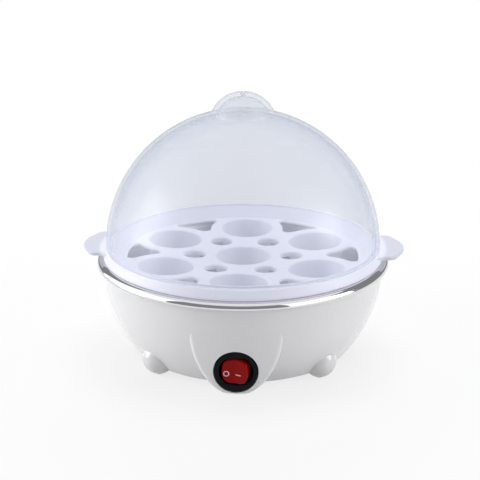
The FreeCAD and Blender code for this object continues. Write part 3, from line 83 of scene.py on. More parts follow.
# A tree of nodes: every node is added by node(), which sets it, feeds it and returns one of its outputs
class Nodes:
    def __init__(self, tree, output):
        self.tree = tree
        self.tree.nodes.clear()
        self.output = self.tree.nodes.new("ShaderNodeOutput" + output)

    def put(self, socket, value):
        if isinstance(value, Wire):
            self.tree.links.new(value.socket, socket)
        elif socket.type == "RGBA":
            socket.default_value = (*value, 1) if len(value) == 3 else value
        else:
            socket.default_value = value

    def node(self, kind, settings=None, sockets=None, out=0):
        made = self.tree.nodes.new("ShaderNode" + kind)
        for key, value in (settings or {}).items():
            setattr(made, key, value)
        for key, value in (sockets or {}).items():
            self.put(made.inputs[key], value)
        return Wire(self, made.outputs[out])

    def surface(self, wire):
        self.put(self.output.inputs["Surface"], wire)

    def rays(self):
        # 1 for what the camera, a gloss or a clear piece sees, 0 for light on surfaces
        camera, glossy, through = [self.node("LightPath", out=f"Is {kind} Ray")
                                   for kind in ("Camera", "Glossy", "Transmission")]
        return self.node("Math", {"operation": "MINIMUM"}, {0: camera + glossy + through, 1: 1.0})


# A material with one Principled shader, whose constants are set on its own sockets
class Finish(Nodes):
    def __init__(self, name, **constants):
        self.material = bpy.data.materials.new(name)
        self.material.use_nodes = True
        super().__init__(self.material.node_tree, "Material")
        self.shader = self.tree.nodes.new("ShaderNodeBsdfPrincipled")
        self.surface(Wire(self, self.shader.outputs[0]))
        self.set(**constants)

    def set(self, **sockets):
        for socket, value in sockets.items():
            self.put(self.shader.inputs[socket.replace("_", " ")], value)
        return self

    def noise(self, scale, detail=2):
        spot = self.node("TexCoord", out="Object")
        return self.node("TexNoise", {}, {"Vector": spot, "Scale": scale, "Detail": detail})

    def reach(self):
        # distance from the vertical axis: the length of the spot's place with its height taken away
        spot = self.node("TexCoord", out="Object")
        flat = self.node("VectorMath", {"operation": "MULTIPLY"}, {0: spot, 1: (1, 1, 0)})
        return self.node("VectorMath", {"operation": "LENGTH"}, {0: flat}, out="Value")

    def step(self, value, first, last, low=0.0, high=1.0):
        # goes smoothly from low to high while the value goes from first to last
        return self.node("MapRange", {"interpolation_type": "SMOOTHSTEP"},
                         {"Value": value, "From Min": first, "From Max": last, "To Min": low, "To Max": high})

    def blend(self, mask, first, second):
        return self.node("Mix", {"data_type": "RGBA"}, {"Factor": mask, 6: first, 7: second}, out=2)

    def bump(self, height, distance):
        return self.set(Normal=self.node("Bump", {}, {"Height": height, "Distance": distance}))


# Finishes. Distances from the axis over which lilac takes a painted shade in the ears, and satin steel turns
# bright
earShadeFade = (0.0795, 0.0825)
flangeFade = (0.073, 0.078)


def tinted(name, colour, rough, spread=0.03, scale=220, bumpHeight=0.00002, **constants):
    # moulded or plated: colour and gloss drift slightly over a fine grain
    finish = Finish(name, **constants)
    grain = finish.noise(scale, 3)
    broad = finish.noise(scale / 9, 2)
    dark = [c * (1 - spread) for c in colour]
    light = [min(1, c * (1 + spread)) for c in colour]
    finish.set(Base_Color=finish.blend(broad, dark, light), Roughness=grain * rough * 0.3 + rough * 0.85)
    return finish.bump(grain, bumpHeight)


def lilacMoulding():
    # milky lilac, with painted shade in the ears and skirt: a darker copy of the same plastic that offsets
    # the stronger light they get outside the lid; its steady painted glow stands for the light that the
    # plastic lets through
    finish = Finish("lilacMoulding", IOR=1.38, Emission_Color=(0.86, 0.88, 1.0), Emission_Strength=0.28)
    outer = finish.step(finish.reach(), *earShadeFade)
    cloud = finish.noise(35, 3)
    milk = finish.blend(cloud, (0.52, 0.52, 0.60), (0.56, 0.56, 0.64))
    # the ears' colour: the same lilac, darkened as painted shade
    rim = finish.blend(cloud, (0.36, 0.37, 0.42), (0.39, 0.40, 0.45))
    grain = finish.noise(260, 3)
    finish.set(Base_Color=finish.blend(outer, milk, rim), Roughness=grain * 0.12 + 0.40)
    return finish.bump(grain, 0.00002)


def frostedMoulding():
    # a thin frosted wall: it hides more where it is seen edge on, and its colour darkens there as painted
    # shade along the outline; its fine frost blurs every reflection
    finish = Finish("frostedMoulding", IOR=1.7)
    edge = finish.node("LayerWeight", {}, {"Blend": 0.35}, out="Facing")
    frost = finish.noise(420, 3)
    cloud = finish.noise(22, 2)
    finish.set(Base_Color=finish.blend(edge ** 4, (0.54, 0.59, 0.70), (0.30, 0.32, 0.37)),
               Roughness=frost * 0.06 + 0.25, Alpha=edge ** 3 * 0.70 + cloud * 0.01 + 0.17)
    return finish.bump(frost, 0.00002)


def spunSteel():
    # bright flange; inside, fine rings about the axis give a satin floor and walls
    finish = Finish("spunSteel", Metallic=1.0)
    reach = finish.reach()
    rings = finish.node("TexNoise", {"noise_dimensions": "1D"}, {"W": reach, "Scale": 2600, "Detail": 2})
    satin = finish.step(reach, *flangeFade, 0.30, 0.07)
    cloud = finish.noise(60, 2)
    finish.set(Base_Color=finish.blend(cloud, (0.70, 0.70, 0.72), (0.74, 0.74, 0.76)),
               Roughness=satin * (rings * 0.5 + 0.75))
    return finish.bump(rings * satin, 0.000015)


finishes = {
    "white_plastic": tinted("glossWhiteMoulding", (0.80, 0.80, 0.81), 0.16, 0.012, 60, 0.00003, IOR=1.5),
    "foot_rubber": tinted("footRubber", (0.10, 0.10, 0.10), 0.7, 0.15, 900, 0.00006),
    "seal_rubber": tinted("siliconeSeal", (0.62, 0.61, 0.58), 0.45, 0.04, 300),
    "zinc_steel": tinted("zincPlate", (0.55, 0.56, 0.58), 0.3, 0.06, 700, Metallic=1.0),
    "spring_steel": tinted("springWire", (0.45, 0.46, 0.48), 0.28, 0.06, 700, Metallic=1.0),
    "dish_steel": spunSteel(),
    "element_tube": tinted("heatDarkenedSheath", (0.22, 0.20, 0.18), 0.42, 0.25, 160, Metallic=1.0),
    "ceramic": tinted("steatite", (0.80, 0.77, 0.71), 0.6, 0.05, 400, 0.00005),
    "phenolic": tinted("phenolicMoulding", (0.045, 0.040, 0.038), 0.4, 0.2, 500),
    "brass": tinted("brassStrip", (0.66, 0.48, 0.20), 0.3, 0.08, 500, Metallic=1.0),
    "copper": tinted("copperStrip", (0.72, 0.38, 0.24), 0.3, 0.08, 500, Metallic=1.0),
    "black_plastic": tinted("blackMoulding", (0.002, 0.003, 0.005), 0.25, 0.2, 400, 0.00001, IOR=1.2),
    "red_plastic": tinted("clearRedMoulding", (0.28, 0.001, 0.001), 0.14, 0.08, 200, 0.000005, IOR=1.2),
    "lamp_glass": tinted("lampGlass", (0.85, 0.78, 0.70), 0.08, 0.04, 200, Alpha=0.4),
    "lead_brown": tinted("brownSleeve", (0.10, 0.035, 0.015), 0.42, 0.1, 800),
    "lead_blue": tinted("blueSleeve", (0.02, 0.10, 0.42), 0.42, 0.1, 800),
    "lead_white": tinted("glassBraid", (0.72, 0.70, 0.64), 0.75, 0.08, 1500, 0.0001),
    "lead_green": tinted("greenYellowSleeve", (0.16, 0.34, 0.03), 0.42, 0.3, 260),
    "fuse_can": tinted("fuseCan", (0.60, 0.59, 0.56), 0.35, 0.05, 600, Metallic=1.0),
    "lilac_plastic": lilacMoulding(),
    "frosted_plastic": frostedMoulding(),
}
slotOf = {part["node"]: part["material_slot"] for part in frame["record"]["subparts"]}
for name, node in frame["nodes"].items():
    node.data.materials.clear()
    node.data.materials.append(finishes[slotOf[name]].material)
print("finishes:", len(finishes))


# Surfaces: a shape is an array of points, rows by columns, and neighbouring points join into faces
mergeDistance = 1e-7


def arcBetween(start, end, radius, spacing):
    # circle through both points: a positive radius keeps its centre on the left of the way from start to end
    start, end = np.array(start, float), np.array(end, float)
    half = (end - start) / 2
    reach = math.hypot(*half)
    aside = math.copysign(math.sqrt(max(radius * radius - reach * reach, 0)), radius)
    centre = start + half + np.array([-half[1], half[0]]) / reach * aside
    first = math.atan2(*(start - centre)[::-1])
    turn = (math.atan2(*(end - centre)[::-1]) - first + math.pi) % (2 * math.pi) - math.pi
    count = max(2, math.ceil(abs(turn * radius) / spacing))
    angle = first + turn * np.arange(1, count + 1) / count
    return centre + abs(radius) * np.stack((np.cos(angle), np.sin(angle)), axis=-1)


def lineOf(steps, spacing):
    # each step is (across, up) after a straight run or (across, up, radius) after an arc
    points = [np.array(steps[0][:2], float)[None]]
    for before, step in zip(steps, steps[1:]):
        if len(step) == 3:
            points.append(arcBetween(before[:2], step[:2], step[2], spacing))
        else:
            run = np.array(step, float) - np.array(before[:2], float)
            count = max(1, math.ceil(math.hypot(*run) / spacing))
            points.append(np.array(before[:2]) + run * (np.arange(1, count + 1) / count)[:, None])
    return np.concatenate(points)


def turnedGrid(line, count, centre=(0, 0)):
    # a line of (radius, height) points carried round the vertical through the centre
    angle = np.linspace(0, 2 * math.pi, count + 1)
    across, up = line[:, :1], line[:, 1:]
    return np.stack((centre[0] + across * np.cos(angle), centre[1] + across * np.sin(angle),
                     up + 0 * angle), axis=-1)


def layForward(grid, origin):
    # tips a shape made about +Z so that its +Z runs along +Y from the origin, with X kept
    return np.stack((origin[0] + grid[..., 0], origin[1] + grid[..., 2], origin[2] + grid[..., 1]), axis=-1)


def swung(grid, pivot, degrees):
    # turns points about the vertical through the pivot
    turn = math.radians(degrees)
    x, y = grid[..., 0] - pivot[0], grid[..., 1] - pivot[1]
    return np.stack((pivot[0] + x * math.cos(turn) - y * math.sin(turn),
                     pivot[1] + x * math.sin(turn) + y * math.cos(turn), grid[..., 2]), axis=-1)


def makePiece(name, grids, finish, body, sharp=30):
    # all grids of a piece in one mesh: doubles are merged, so seams and poles close, and faces point outwards
    points, faces, first = [], [], 0
    for grid in grids:
        rows, columns = grid.shape[:2]
        number = first + np.arange(rows * columns).reshape(rows, columns)
        faces.append(np.stack((number[:-1, :-1], number[:-1, 1:], number[1:, 1:], number[1:, :-1]),
                              axis=-1).reshape(-1, 4))
        points.append(grid.reshape(-1, 3))
        first += rows * columns
    mesh = bpy.data.meshes.new(name)
    mesh.from_pydata(np.concatenate(points), [], np.concatenate(faces))
    shape = bmesh.new()
    shape.from_mesh(mesh)
    bmesh.ops.remove_doubles(shape, verts=shape.verts, dist=mergeDistance)
    bmesh.ops.dissolve_degenerate(shape, edges=shape.edges, dist=mergeDistance)
    bmesh.ops.recalc_face_normals(shape, faces=shape.faces)
    shape.to_mesh(mesh)
    shape.free()
    mesh.polygons.foreach_set("use_smooth", np.ones(len(mesh.polygons), bool))
    mesh.set_sharp_from_angle(angle=math.radians(sharp))
    mesh.materials.append(finish.material)
    piece = bpy.data.objects.new(name, mesh)
    bpy.context.scene.collection.objects.link(piece)
    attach(piece, body)
    return piece


# Lid: a frosted dome and a ball knob, turned, with a groove and a steam vent in the knob's top
lidShape = {"wall": 0.0020, "centreDrop": 0.0012, "knobRadius": 0.0190, "knobSink": 0.0089,
            "knobFillet": 0.0020, "knobWall": 0.0026, "grooveHalf": 0.00135, "grooveDepth": 0.0017,
            "grooveEase": 0.00012, "ventRadius": 0.0016, "rimRound": 0.0004, "around": 288,
            "spacing": 0.0012}


def seam(dome, knob, fillet, domeHeight, knobHeight):
    # where a fillet between two balls on the axis touches each of them
    span = knobHeight - domeHeight
    far, near = dome + fillet, knob + fillet
    along = (far * far - near * near + span * span) / (span * 2)
    out = math.sqrt(far * far - along * along)
    return ((out * dome / far, domeHeight + along * dome / far),
            (out * knob / near, knobHeight + (along - span) * knob / near))


def lidGrid():
    # a line of arcs turned about the axis: up the dome's outside, over the knob and its vent, and down inside
    low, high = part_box("lid")
    shape = lidShape
    centre = low.z - shape["centreDrop"]
    dome = math.hypot(high.x, shape["centreDrop"])
    inner = dome - shape["wall"]
    knobHeight = centre + dome - shape["knobSink"]
    hollow = shape["knobRadius"] - shape["knobWall"]
    onDome, onKnob = seam(dome, shape["knobRadius"], shape["knobFillet"], centre, knobHeight)
    corner = seam(inner, hollow, 0, centre, knobHeight)[0]
    vent = shape["ventRadius"]
    top = knobHeight + math.sqrt(shape["knobRadius"] ** 2 - vent * vent)
    underTop = knobHeight + math.sqrt(hollow * hollow - vent * vent)
    rimOut = math.sqrt(dome * dome - shape["centreDrop"] ** 2)
    rimIn = math.sqrt(inner * inner - shape["centreDrop"] ** 2)
    ease = shape["rimRound"]
    line = lineOf([(rimIn + ease, low.z), (rimOut - ease, low.z), (rimOut, low.z + ease, ease),
                   (*onDome, dome), (*onKnob, -shape["knobFillet"]), (vent, top, shape["knobRadius"]),
                   (vent, underTop), (*corner, -hollow), (rimIn, low.z + ease, -inner),
                   (rimIn + ease, low.z, ease)], shape["spacing"])
    grid = turnedGrid(line, shape["around"])
    # the groove's floor rises with the distance from the middle plane, and the lower height is kept, eased
    floor = (knobHeight + shape["knobRadius"] - shape["grooveDepth"]
             + np.abs(grid[..., 0]) * shape["grooveDepth"] / shape["grooveHalf"])
    over = grid[..., 2] - floor
    cut = (over + np.sqrt(over * over + shape["grooveEase"] ** 2)) / 2
    above = (grid[..., 2] > onKnob[1]) & (np.arange(len(line))[:, None] < np.argmin(line[:, 0]) + 1)
    grid[..., 2] -= np.where(above, cut, 0)
    return grid


lidPiece = makePiece("lidShell", [lidGrid()], finishes["frosted_plastic"], "lid", 50)
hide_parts("lid")
lidPiece.visible_shadow = False  # the frosted wall spreads light instead of stopping it
print("lid made")


# Heating dish: one steel sheet, turned, with a rolled flange, and its weld studs
dishShape = {"sheet": 0.0008, "flatReach": 0.0030, "flangeWidth": 0.0022, "lipRound": 0.0020,
             "cornerRound": 0.008, "wallAngle": 68.0, "drop": 0.0034, "depth": 0.0225, "around": 256,
             "spacing": 0.0011, "ringRadius": 0.040, "ringWidth": 0.0016, "ringRise": 0.00035,
             "studRadius": 0.0015, "studReach": 0.0125, "earthStud": (0.0535, 22.0), "studSpacing": 0.004,
             "studAround": 24}


def dishLine(rim, top, inset):
    # the sheet's upper side, or the side that lies an inset below it, from the middle out to the rim
    shape = dishShape
    lean = math.radians(shape["wallAngle"])
    flat = rim - shape["flatReach"]
    flange = flat - shape["flangeWidth"]
    lip = shape["lipRound"] - inset
    corner = shape["cornerRound"] + inset
    roll = shape["flatReach"] - inset
    level = top - inset
    floor = top - shape["depth"] - inset
    lipStart = (flange - lip * math.sin(lean), level - lip * (1 - math.cos(lean)))
    footUp = floor + corner * (1 - math.cos(lean))
    footOut = lipStart[0] - (lipStart[1] - footUp) / math.tan(lean)
    return lineOf([(0, floor), (footOut - corner * math.sin(lean), floor), (footOut, footUp, corner),
                   lipStart, (flange, level, -lip), (flat, level), (flat + roll, level - roll, -roll),
                   (flat + roll, top - shape["drop"])], shape["spacing"])


def dishGrids():
    # the two sides of the sheet as one line turned about the axis, and straight studs turned about their own
    low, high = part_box("heating_dish")
    shape = dishShape
    upper = dishLine(high.x, high.z, 0)
    lower = dishLine(high.x, high.z, shape["sheet"])
    # a low pressed ring in the floor, the same bump on both sides of the sheet
    for side in (upper, lower):
        near = (side[:, 0] - shape["ringRadius"]) / shape["ringWidth"]
        side[:, 1] += shape["ringRise"] * np.exp(-near * near)
    sheet = turnedGrid(np.concatenate((upper, lower[::-1])), shape["around"])
    turn = math.radians(shape["earthStud"][1])
    spots = [(shape["studReach"], 0), (-shape["studReach"], 0),
             (shape["earthStud"][0] * math.cos(turn), shape["earthStud"][0] * math.sin(turn))]
    floor = high.z - shape["depth"] - shape["sheet"] / 2
    stud = lineOf([(0, floor), (shape["studRadius"], floor), (shape["studRadius"], low.z), (0, low.z)],
                  shape["studSpacing"])
    return [sheet] + [turnedGrid(stud, shape["studAround"], spot) for spot in spots]


dishPiece = makePiece("dishSheet", dishGrids(), finishes["dish_steel"], "base", 40)
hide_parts("heating_dish")
print("dish made")


# Egg tray: one skin, worked out cell by cell. Every opening has its own cell of the plate, and lines run from
# the cell's edge over the plate and the opening's lip, down its wall, round its foot and back underneath.
trayShape = {"lipDrop": 0.0013, "plateDrop": 0.0059, "dish": 0.0028, "wall": 0.0016, "plateRadius": 0.0630,
             "footRadius": 0.0675, "cup": 0.0154, "cupTaper": 0.0024, "cupCircle": 0.0480, "hole": 0.0062,
             "holeDepth": 0.0030, "sleeve": 0.0014, "ease": 0.0010, "ventCentre": 0.0580,
             "ventSide": 0.0220, "ventTip": 0.0500, "ventTipEase": 0.0005, "ventWide": 0.0603,
             "ventOuter": 0.0656, "ventRound": 0.0034, "cellStep": 0.0015, "nearCorner": 0.0226,
             "webCorner": (0.0400, 0.0055), "cupCorner": (0.0520, 0.0088), "arcHalf": 14.7,
             "rib": (0.0740, 0.0751), "lipRadius": 0.0770, "skirt": 0.0793, "skirtHeight": 0.0054,
             "skirtWall": 0.0014, "rimEase": 0.0006, "spacing": 0.0012, "ventSpacing": 0.0003,
             "runShare": 0.45, "plateRows": 7, "lipTurns": (68, 46, 23, 0), "wallStartShare": 0.14,
             "wallRows": 7, "sleeveRows": 6, "browTurns": (30, 60, 90), "underRows": 5,
             "ventUnderRows": 6}
earShape = {"drop": 0.0009, "thick": 0.0022, "round": 0.0008, "rim": 0.0762, "shoulder": 0.082,
            "root": 0.0245, "half": 0.0195, "end": 0.0145, "crown": 0.026, "corner": 0.006, "blend": 0.009,
            "middle": 0.080, "spacing": 0.0015, "rows": 9, "turns": (22, 45, 67, 90)}


def polar(radius, degrees):
    # the point at this distance from the middle, in this direction
    return np.array([radius * math.cos(math.radians(degrees)), radius * math.sin(math.radians(degrees))])


def turnedFlat(points, degrees):
    # flat points turned about the middle: each row is multiplied by the turn's two rows
    turn = math.radians(degrees)
    return points @ np.array([[math.cos(turn), math.sin(turn)], [-math.sin(turn), math.cos(turn)]])


def eased(corners, radius):
    # a run of corners as steps for lineOf, each corner rounded as far as its two runs allow
    corners = [np.array(corner, float) for corner in corners]
    steps = [tuple(corners[0])]
    for before, corner, after in zip(corners, corners[1:], corners[2:]):
        arriving, leaving = corner - before, after - corner
        turn = math.atan2(arriving[0] * leaving[1] - arriving[1] * leaving[0], arriving @ leaving)
        reach = min(radius * math.tan(abs(turn) / 2), trayShape["runShare"] * math.hypot(*arriving),
                    trayShape["runShare"] * math.hypot(*leaving))
        start = corner - arriving / math.hypot(*arriving) * reach
        end = corner + leaving / math.hypot(*leaving) * reach
        steps += [tuple(start), (*end, math.copysign(reach / math.tan(abs(turn) / 2), turn))]
    return steps + [tuple(corners[-1])]


def edgePoints(corners):
    # a cell's edge: straight runs, or an arc about the middle where both ends lie on the plate's rim
    rows = []
    for start, end in zip(corners, corners[1:] + corners[:1]):
        radii = math.hypot(*start), math.hypot(*end)
        count = math.ceil(math.hypot(*(end - start)) / trayShape["cellStep"])
        share = (np.arange(count) / count)[:, None]
        if min(radii) > trayShape["footRadius"] - mergeDistance:
            first, last = (math.degrees(math.atan2(*point[::-1])) for point in (start, end))
            angle = np.radians(first + ((last - first + 180) % 360 - 180) * share)
            rows.append(radii[0] * np.concatenate((np.cos(angle), np.sin(angle)), axis=1))
        else:
            rows.append(start + (end - start) * share)
    points = np.concatenate(rows)
    return np.concatenate((points, points[:1]))


def cellGrid(centre, outline, edge, plate, foot, taper):
    # offsets from the opening's outline run straight away from its centre; without a foot there is no sleeve
    shape = trayShape
    away = edge - centre
    reach = np.hypot(*away.T)
    away = away / reach[:, None]
    ease, sleeve = shape["ease"], shape["sleeve"]
    rim = plate(centre + away * (outline + ease)[:, None])
    rows = []

    def ring(offset, height):
        spot = centre + away * (outline + offset)[:, None]
        rows.append(np.concatenate((spot, (height + 0 * reach)[:, None]), axis=1))

    def sheet(near, shares, drop):
        for share in shares:
            offset = near + (reach - outline - near) * share
            spot = centre + away * (outline + offset)[:, None]
            rows.append(np.concatenate((spot, (plate(spot) - drop)[:, None]), axis=1))

    sheet(ease, np.linspace(1, 0, shape["plateRows"]), 0)
    for turn in np.radians(shape["lipTurns"]):
        ring(ease * (1 - math.cos(turn)), rim - ease * (1 - math.sin(turn)))
    if foot is None:
        under = plate(centre + away * outline[:, None]) - shape["wall"]
        ring(0, under + ease / 3)
        ring(ease / 3, under)
        sheet(ease / 3, np.linspace(0, 1, shape["ventUnderRows"])[1:], shape["wall"])
        return np.stack(rows)
    lip = rim - ease
    for share in np.linspace(shape["wallStartShare"], 1, shape["wallRows"]):
        ring(-taper * share, lip + (foot + ease / 2 - lip) * share)
    ring(-taper + ease / 6, foot + ease / 6)
    ring(-taper + ease / 2, foot)
    ring(-taper + sleeve - ease / 2, foot)
    ring(-taper + sleeve - ease / 6, foot + ease / 6)
    brow = plate(centre + away * (outline + sleeve + ease)[:, None]) - shape["wall"] - ease
    for share in np.linspace(0, 1, shape["sleeveRows"]):
        ring(sleeve - taper * (1 - share), foot + ease / 2 + (brow - foot - ease / 2) * share)
    for turn in np.radians(shape["browTurns"]):
        ring(sleeve + ease * (1 - math.cos(turn)), brow + ease * math.sin(turn))
    sheet(sleeve + ease, np.linspace(0, 1, shape["underRows"])[1:], shape["wall"])
    return np.stack(rows)


def ventReach(away):
    # distance from the vent's centre to its outline in each direction
    shape = trayShape
    side = shape["ventSide"]
    cupAcross, cupUp = shape["cupCircle"] * math.cos(math.pi / 6), shape["cupCircle"] / 2
    tip, wide = [(along, cupUp - math.sqrt(side ** 2 - (along - cupAcross) ** 2))
                 for along in (shape["ventTip"], shape["ventWide"])]
    outHalf = wide[1] - shape["ventRound"] / 3
    out = math.sqrt(shape["ventOuter"] ** 2 - outHalf ** 2)
    line = lineOf([(tip[0], -tip[1]), (wide[0], -wide[1], -side), (out, -outHalf, shape["ventRound"]),
                   (out, outHalf, shape["ventOuter"]), (wide[0], wide[1], shape["ventRound"]),
                   (tip[0], tip[1], -side), (tip[0], -tip[1], tip[1] + shape["ventTipEase"])],
                  shape["ventSpacing"])
    line = line - np.array([shape["ventCentre"], 0])
    angle = np.unwrap(np.arctan2(line[:, 1], line[:, 0]))
    wanted = np.arctan2(away[:, 1], away[:, 0])
    return np.interp(wanted, angle, np.hypot(*line.T), period=2 * math.pi)


def earSteps(reach):
    # the ear's outline: an arc on the rim, sides that blend out of it, rounded corners and a crowned end
    shape = earShape
    root, half, end = shape["root"], shape["half"], shape["end"]
    start = math.sqrt(shape["rim"] ** 2 - root ** 2)
    tip = reach - shape["crown"] + math.sqrt(shape["crown"] ** 2 - end ** 2)
    shoulder, corner, blend = shape["shoulder"], shape["corner"], shape["blend"]
    return [(start, -root), (shoulder, -half, -blend), (tip, -end, corner), (tip, end, shape["crown"]),
            (shoulder, half, corner), (start, root, -blend), (start, -root, -shape["rim"])]


def rimGrid(outer, lip, top):
    # the stepped rim, turned through the same angles as the cells' arcs
    shape = trayShape
    arcs = []
    for number in range(6):
        for first, span in ((-shape["arcHalf"], 2 * shape["arcHalf"]),
                            (shape["arcHalf"], 60 - 2 * shape["arcHalf"])):
            chordLength = 2 * shape["footRadius"] * math.sin(math.radians(span / 2))
            count = math.ceil(chordLength / shape["cellStep"])
            arcs.append(60 * number + first + span * np.arange(count) / count)
    angle = np.radians(np.concatenate((*arcs, [360 - shape["arcHalf"]])))
    skirt = shape["skirt"]
    bottom = lip - shape["skirtHeight"]
    ribIn, ribOut = shape["rib"]
    wall = shape["wall"]
    run, rise = ribIn - shape["footRadius"], lip - outer
    slant = math.hypot(run, rise)
    under = shape["footRadius"] + wall * (slant - run) / rise
    line = lineOf(eased([(shape["footRadius"], outer), (ribIn, lip), (ribIn, top), (ribOut, top),
                         (ribOut, lip), (shape["lipRadius"], lip), (skirt, bottom),
                         (skirt - shape["skirtWall"], bottom),
                         (shape["lipRadius"] - shape["skirtWall"], lip - wall), (under + run, lip - wall),
                         (under, outer - wall), (shape["footRadius"], outer - wall)],
                        shape["rimEase"]), shape["spacing"])
    across, up = line[:, :1], line[:, 1:]
    return np.stack((across * np.cos(angle), across * np.sin(angle), up + 0 * angle), axis=-1)


def earGrids(reach, lip):
    # two closed plates with a rounded edge, drawn in towards a point inside them
    shape = earShape
    ear = lineOf(earSteps(reach), shape["spacing"])
    middle = np.array([shape["middle"], 0])
    top = lip - shape["drop"]
    thick, ease = shape["thick"], shape["round"]
    away = ear - middle
    away = away / np.hypot(*away.T)[:, None]
    rows = []
    for share in np.linspace(0, 1, shape["rows"]):
        rows.append((middle + (ear - away * ease - middle) * share, top))
    for step in np.radians(shape["turns"]):
        rows.append((ear - away * ease * (1 - math.sin(step)), top - ease * (1 - math.cos(step))))
    for step in np.radians((*shape["turns"][::-1], 0)):
        rows.append((ear - away * ease * (1 - math.sin(step)), top - thick + ease * (1 - math.cos(step))))
    for share in np.linspace(1, 0, shape["rows"])[1:]:
        rows.append((middle + (ear - away * ease - middle) * share, top - thick))
    return [np.stack([np.concatenate((spot * side, np.full((len(spot), 1), height)), axis=1)
                      for spot, height in rows]) for side in (1, -1)]


def trayGrids():
    # cells of a plate that dips towards the middle in proportion to the radius, the rim, and the ears
    low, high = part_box("egg_tray")
    shape = trayShape
    lip = high.z - shape["lipDrop"]
    outer = lip - shape["plateDrop"]

    def plate(spot):
        return outer - shape["dish"] * (1 - np.minimum(np.hypot(*spot.T) / shape["plateRadius"], 1))

    near = [polar(shape["nearCorner"], 30 + 60 * number) for number in range(6)]
    web, cup = np.array(shape["webCorner"]), np.array(shape["cupCorner"])
    flip = np.array([1, -1])
    rim = polar(shape["footRadius"], shape["arcHalf"])
    turn = 60

    def mirrored(point):
        return turnedFlat((point * flip)[None], turn)[0]

    cells = [((0, 0), shape["cup"], near, low.z, shape["cupTaper"], 1),
             (polar(shape["cupCircle"], 30), shape["cup"],
              [near[0], web, cup, rim, mirrored(rim), mirrored(cup), mirrored(web)], low.z,
              shape["cupTaper"], 6),
             (polar(shape["cupCircle"] / math.sqrt(3), 0), shape["hole"], [near[5], web * flip, web, near[0]],
              outer - shape["wall"] - shape["holeDepth"], 0, 6),
             (np.array([shape["ventCentre"], 0]), None, [web, web * flip, cup * flip, rim * flip, rim, cup],
              None, 0, 6)]
    grids = []
    for centre, radius, corners, foot, taper, copies in cells:
        centre = np.array(centre, float)
        for number in range(copies):
            edge = edgePoints([turnedFlat(corner[None], 60 * number)[0] for corner in corners])
            middle = turnedFlat(centre[None], 60 * number)[0]
            if radius is None:
                outline = ventReach(turnedFlat(edge - middle, -60 * number))
            else:
                outline = radius + 0 * edge[:, 0]
            grids.append(cellGrid(middle, outline, edge, plate, foot, taper))
    return grids + [rimGrid(outer, lip, high.z)] + earGrids(high.x, lip)


trayPiece = makePiece("trayMoulding", trayGrids(), finishes["lilac_plastic"], "tray", 40)
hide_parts("egg_tray")
print("tray made")


# Foot pads: four rubber buttons, turned, with rounded rims and a dimple underneath
padShape = {"radius": 0.0028, "round": 0.0006, "dimple": 0.0012, "dimpleDepth": 0.0003,
            "dimpleBendShare": 2.5, "around": 48, "spacing": 0.0003}


def padGrids():
    # a line from the dimple round the rim to the flat top, turned at each corner of the node's box
    low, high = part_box("foot_pads")
    shape = padShape
    wide, ease, pit = shape["radius"], shape["round"], shape["dimple"]
    reach = (high.x - low.x) / 2 - wide
    line = lineOf([(0, low.z + shape["dimpleDepth"]), (pit, low.z, pit * shape["dimpleBendShare"]),
                   (wide - ease, low.z), (wide, low.z + ease, ease), (wide, high.z), (0, high.z)],
                  shape["spacing"])
    return [turnedGrid(line, shape["around"], (x * reach, y * reach)) for x in (-1, 1) for y in (-1, 1)]


padPiece = makePiece("footButtons", padGrids(), finishes["foot_rubber"], "base", 40)
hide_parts("foot_pads")


# Cord gland: a flanged bush with a catch behind the wall, turned about the lead's axis
glandShape = {"flange": 0.0082, "flangeDepth": 0.0024, "neck": 0.0056, "bore": 0.0035, "round": 0.0009,
              "mouth": 0.0008, "catch": 0.0064, "catchDepth": 0.0030, "around": 96, "spacing": 0.0008}


def glandGrid():
    # a closed line round the flange, the catch and the bore, turned and then tipped to point backwards
    low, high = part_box("cord_gland")
    shape = glandShape
    end = high.y - low.y
    face = end - shape["flangeDepth"]
    wide, ease, mouth = shape["flange"], shape["round"], shape["mouth"]
    line = lineOf([(shape["bore"] + mouth, end), (wide - ease, end), (wide, end - ease, -ease), (wide, face),
                   (shape["neck"], face), (shape["neck"], shape["catchDepth"]),
                   (shape["catch"], shape["catchDepth"]), (shape["neck"], 0), (shape["bore"], 0),
                   (shape["bore"], end - mouth), (shape["bore"] + mouth, end, -mouth)], shape["spacing"])
    return layForward(turnedGrid(line, shape["around"]), (0, low.y, (low.z + high.z) / 2))


glandPiece = makePiece("cordBush", [glandGrid()], finishes["black_plastic"], "base", 35)
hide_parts("cord_gland")


# Switch: bezel and barrel in one shell, carried between the round rim and the window's outline
switchShape = {"seat": -0.0742, "bezel": 0.0116, "bezelDepth": 0.0020, "bezelRound": 0.0009,
               "barrel": 0.0096, "window": 0.0087, "windowHalf": 0.0073, "lip": 0.0007, "corner": 6.0,
               "floor": 0.0014, "around": 192, "spacing": 0.0004, "faceStartShare": 0.2, "faceRings": 5,
               "lipTurns": (18, 36, 54, 72, 90), "wellRings": 12, "wellStartShare": 1.5}


def windowOutline(radius, half, angle):
    # a circle flattened above and below: a high power joins the inverse distances, so corners are soft
    power = switchShape["corner"] * 2
    flat = np.abs(np.sin(angle)) / half
    return ((1 / radius) ** power + flat ** power) ** (-1 / power)


def ringsOf(rings, centre):
    # each ring is (distance from the axis at each angle, place along the axis)
    angle = np.linspace(0, 2 * math.pi, switchShape["around"] + 1)
    rows = [np.stack((out * np.cos(angle), along + 0 * angle, out * np.sin(angle)), axis=-1)
            for out, along in rings]
    return np.stack(rows) + np.array(centre)


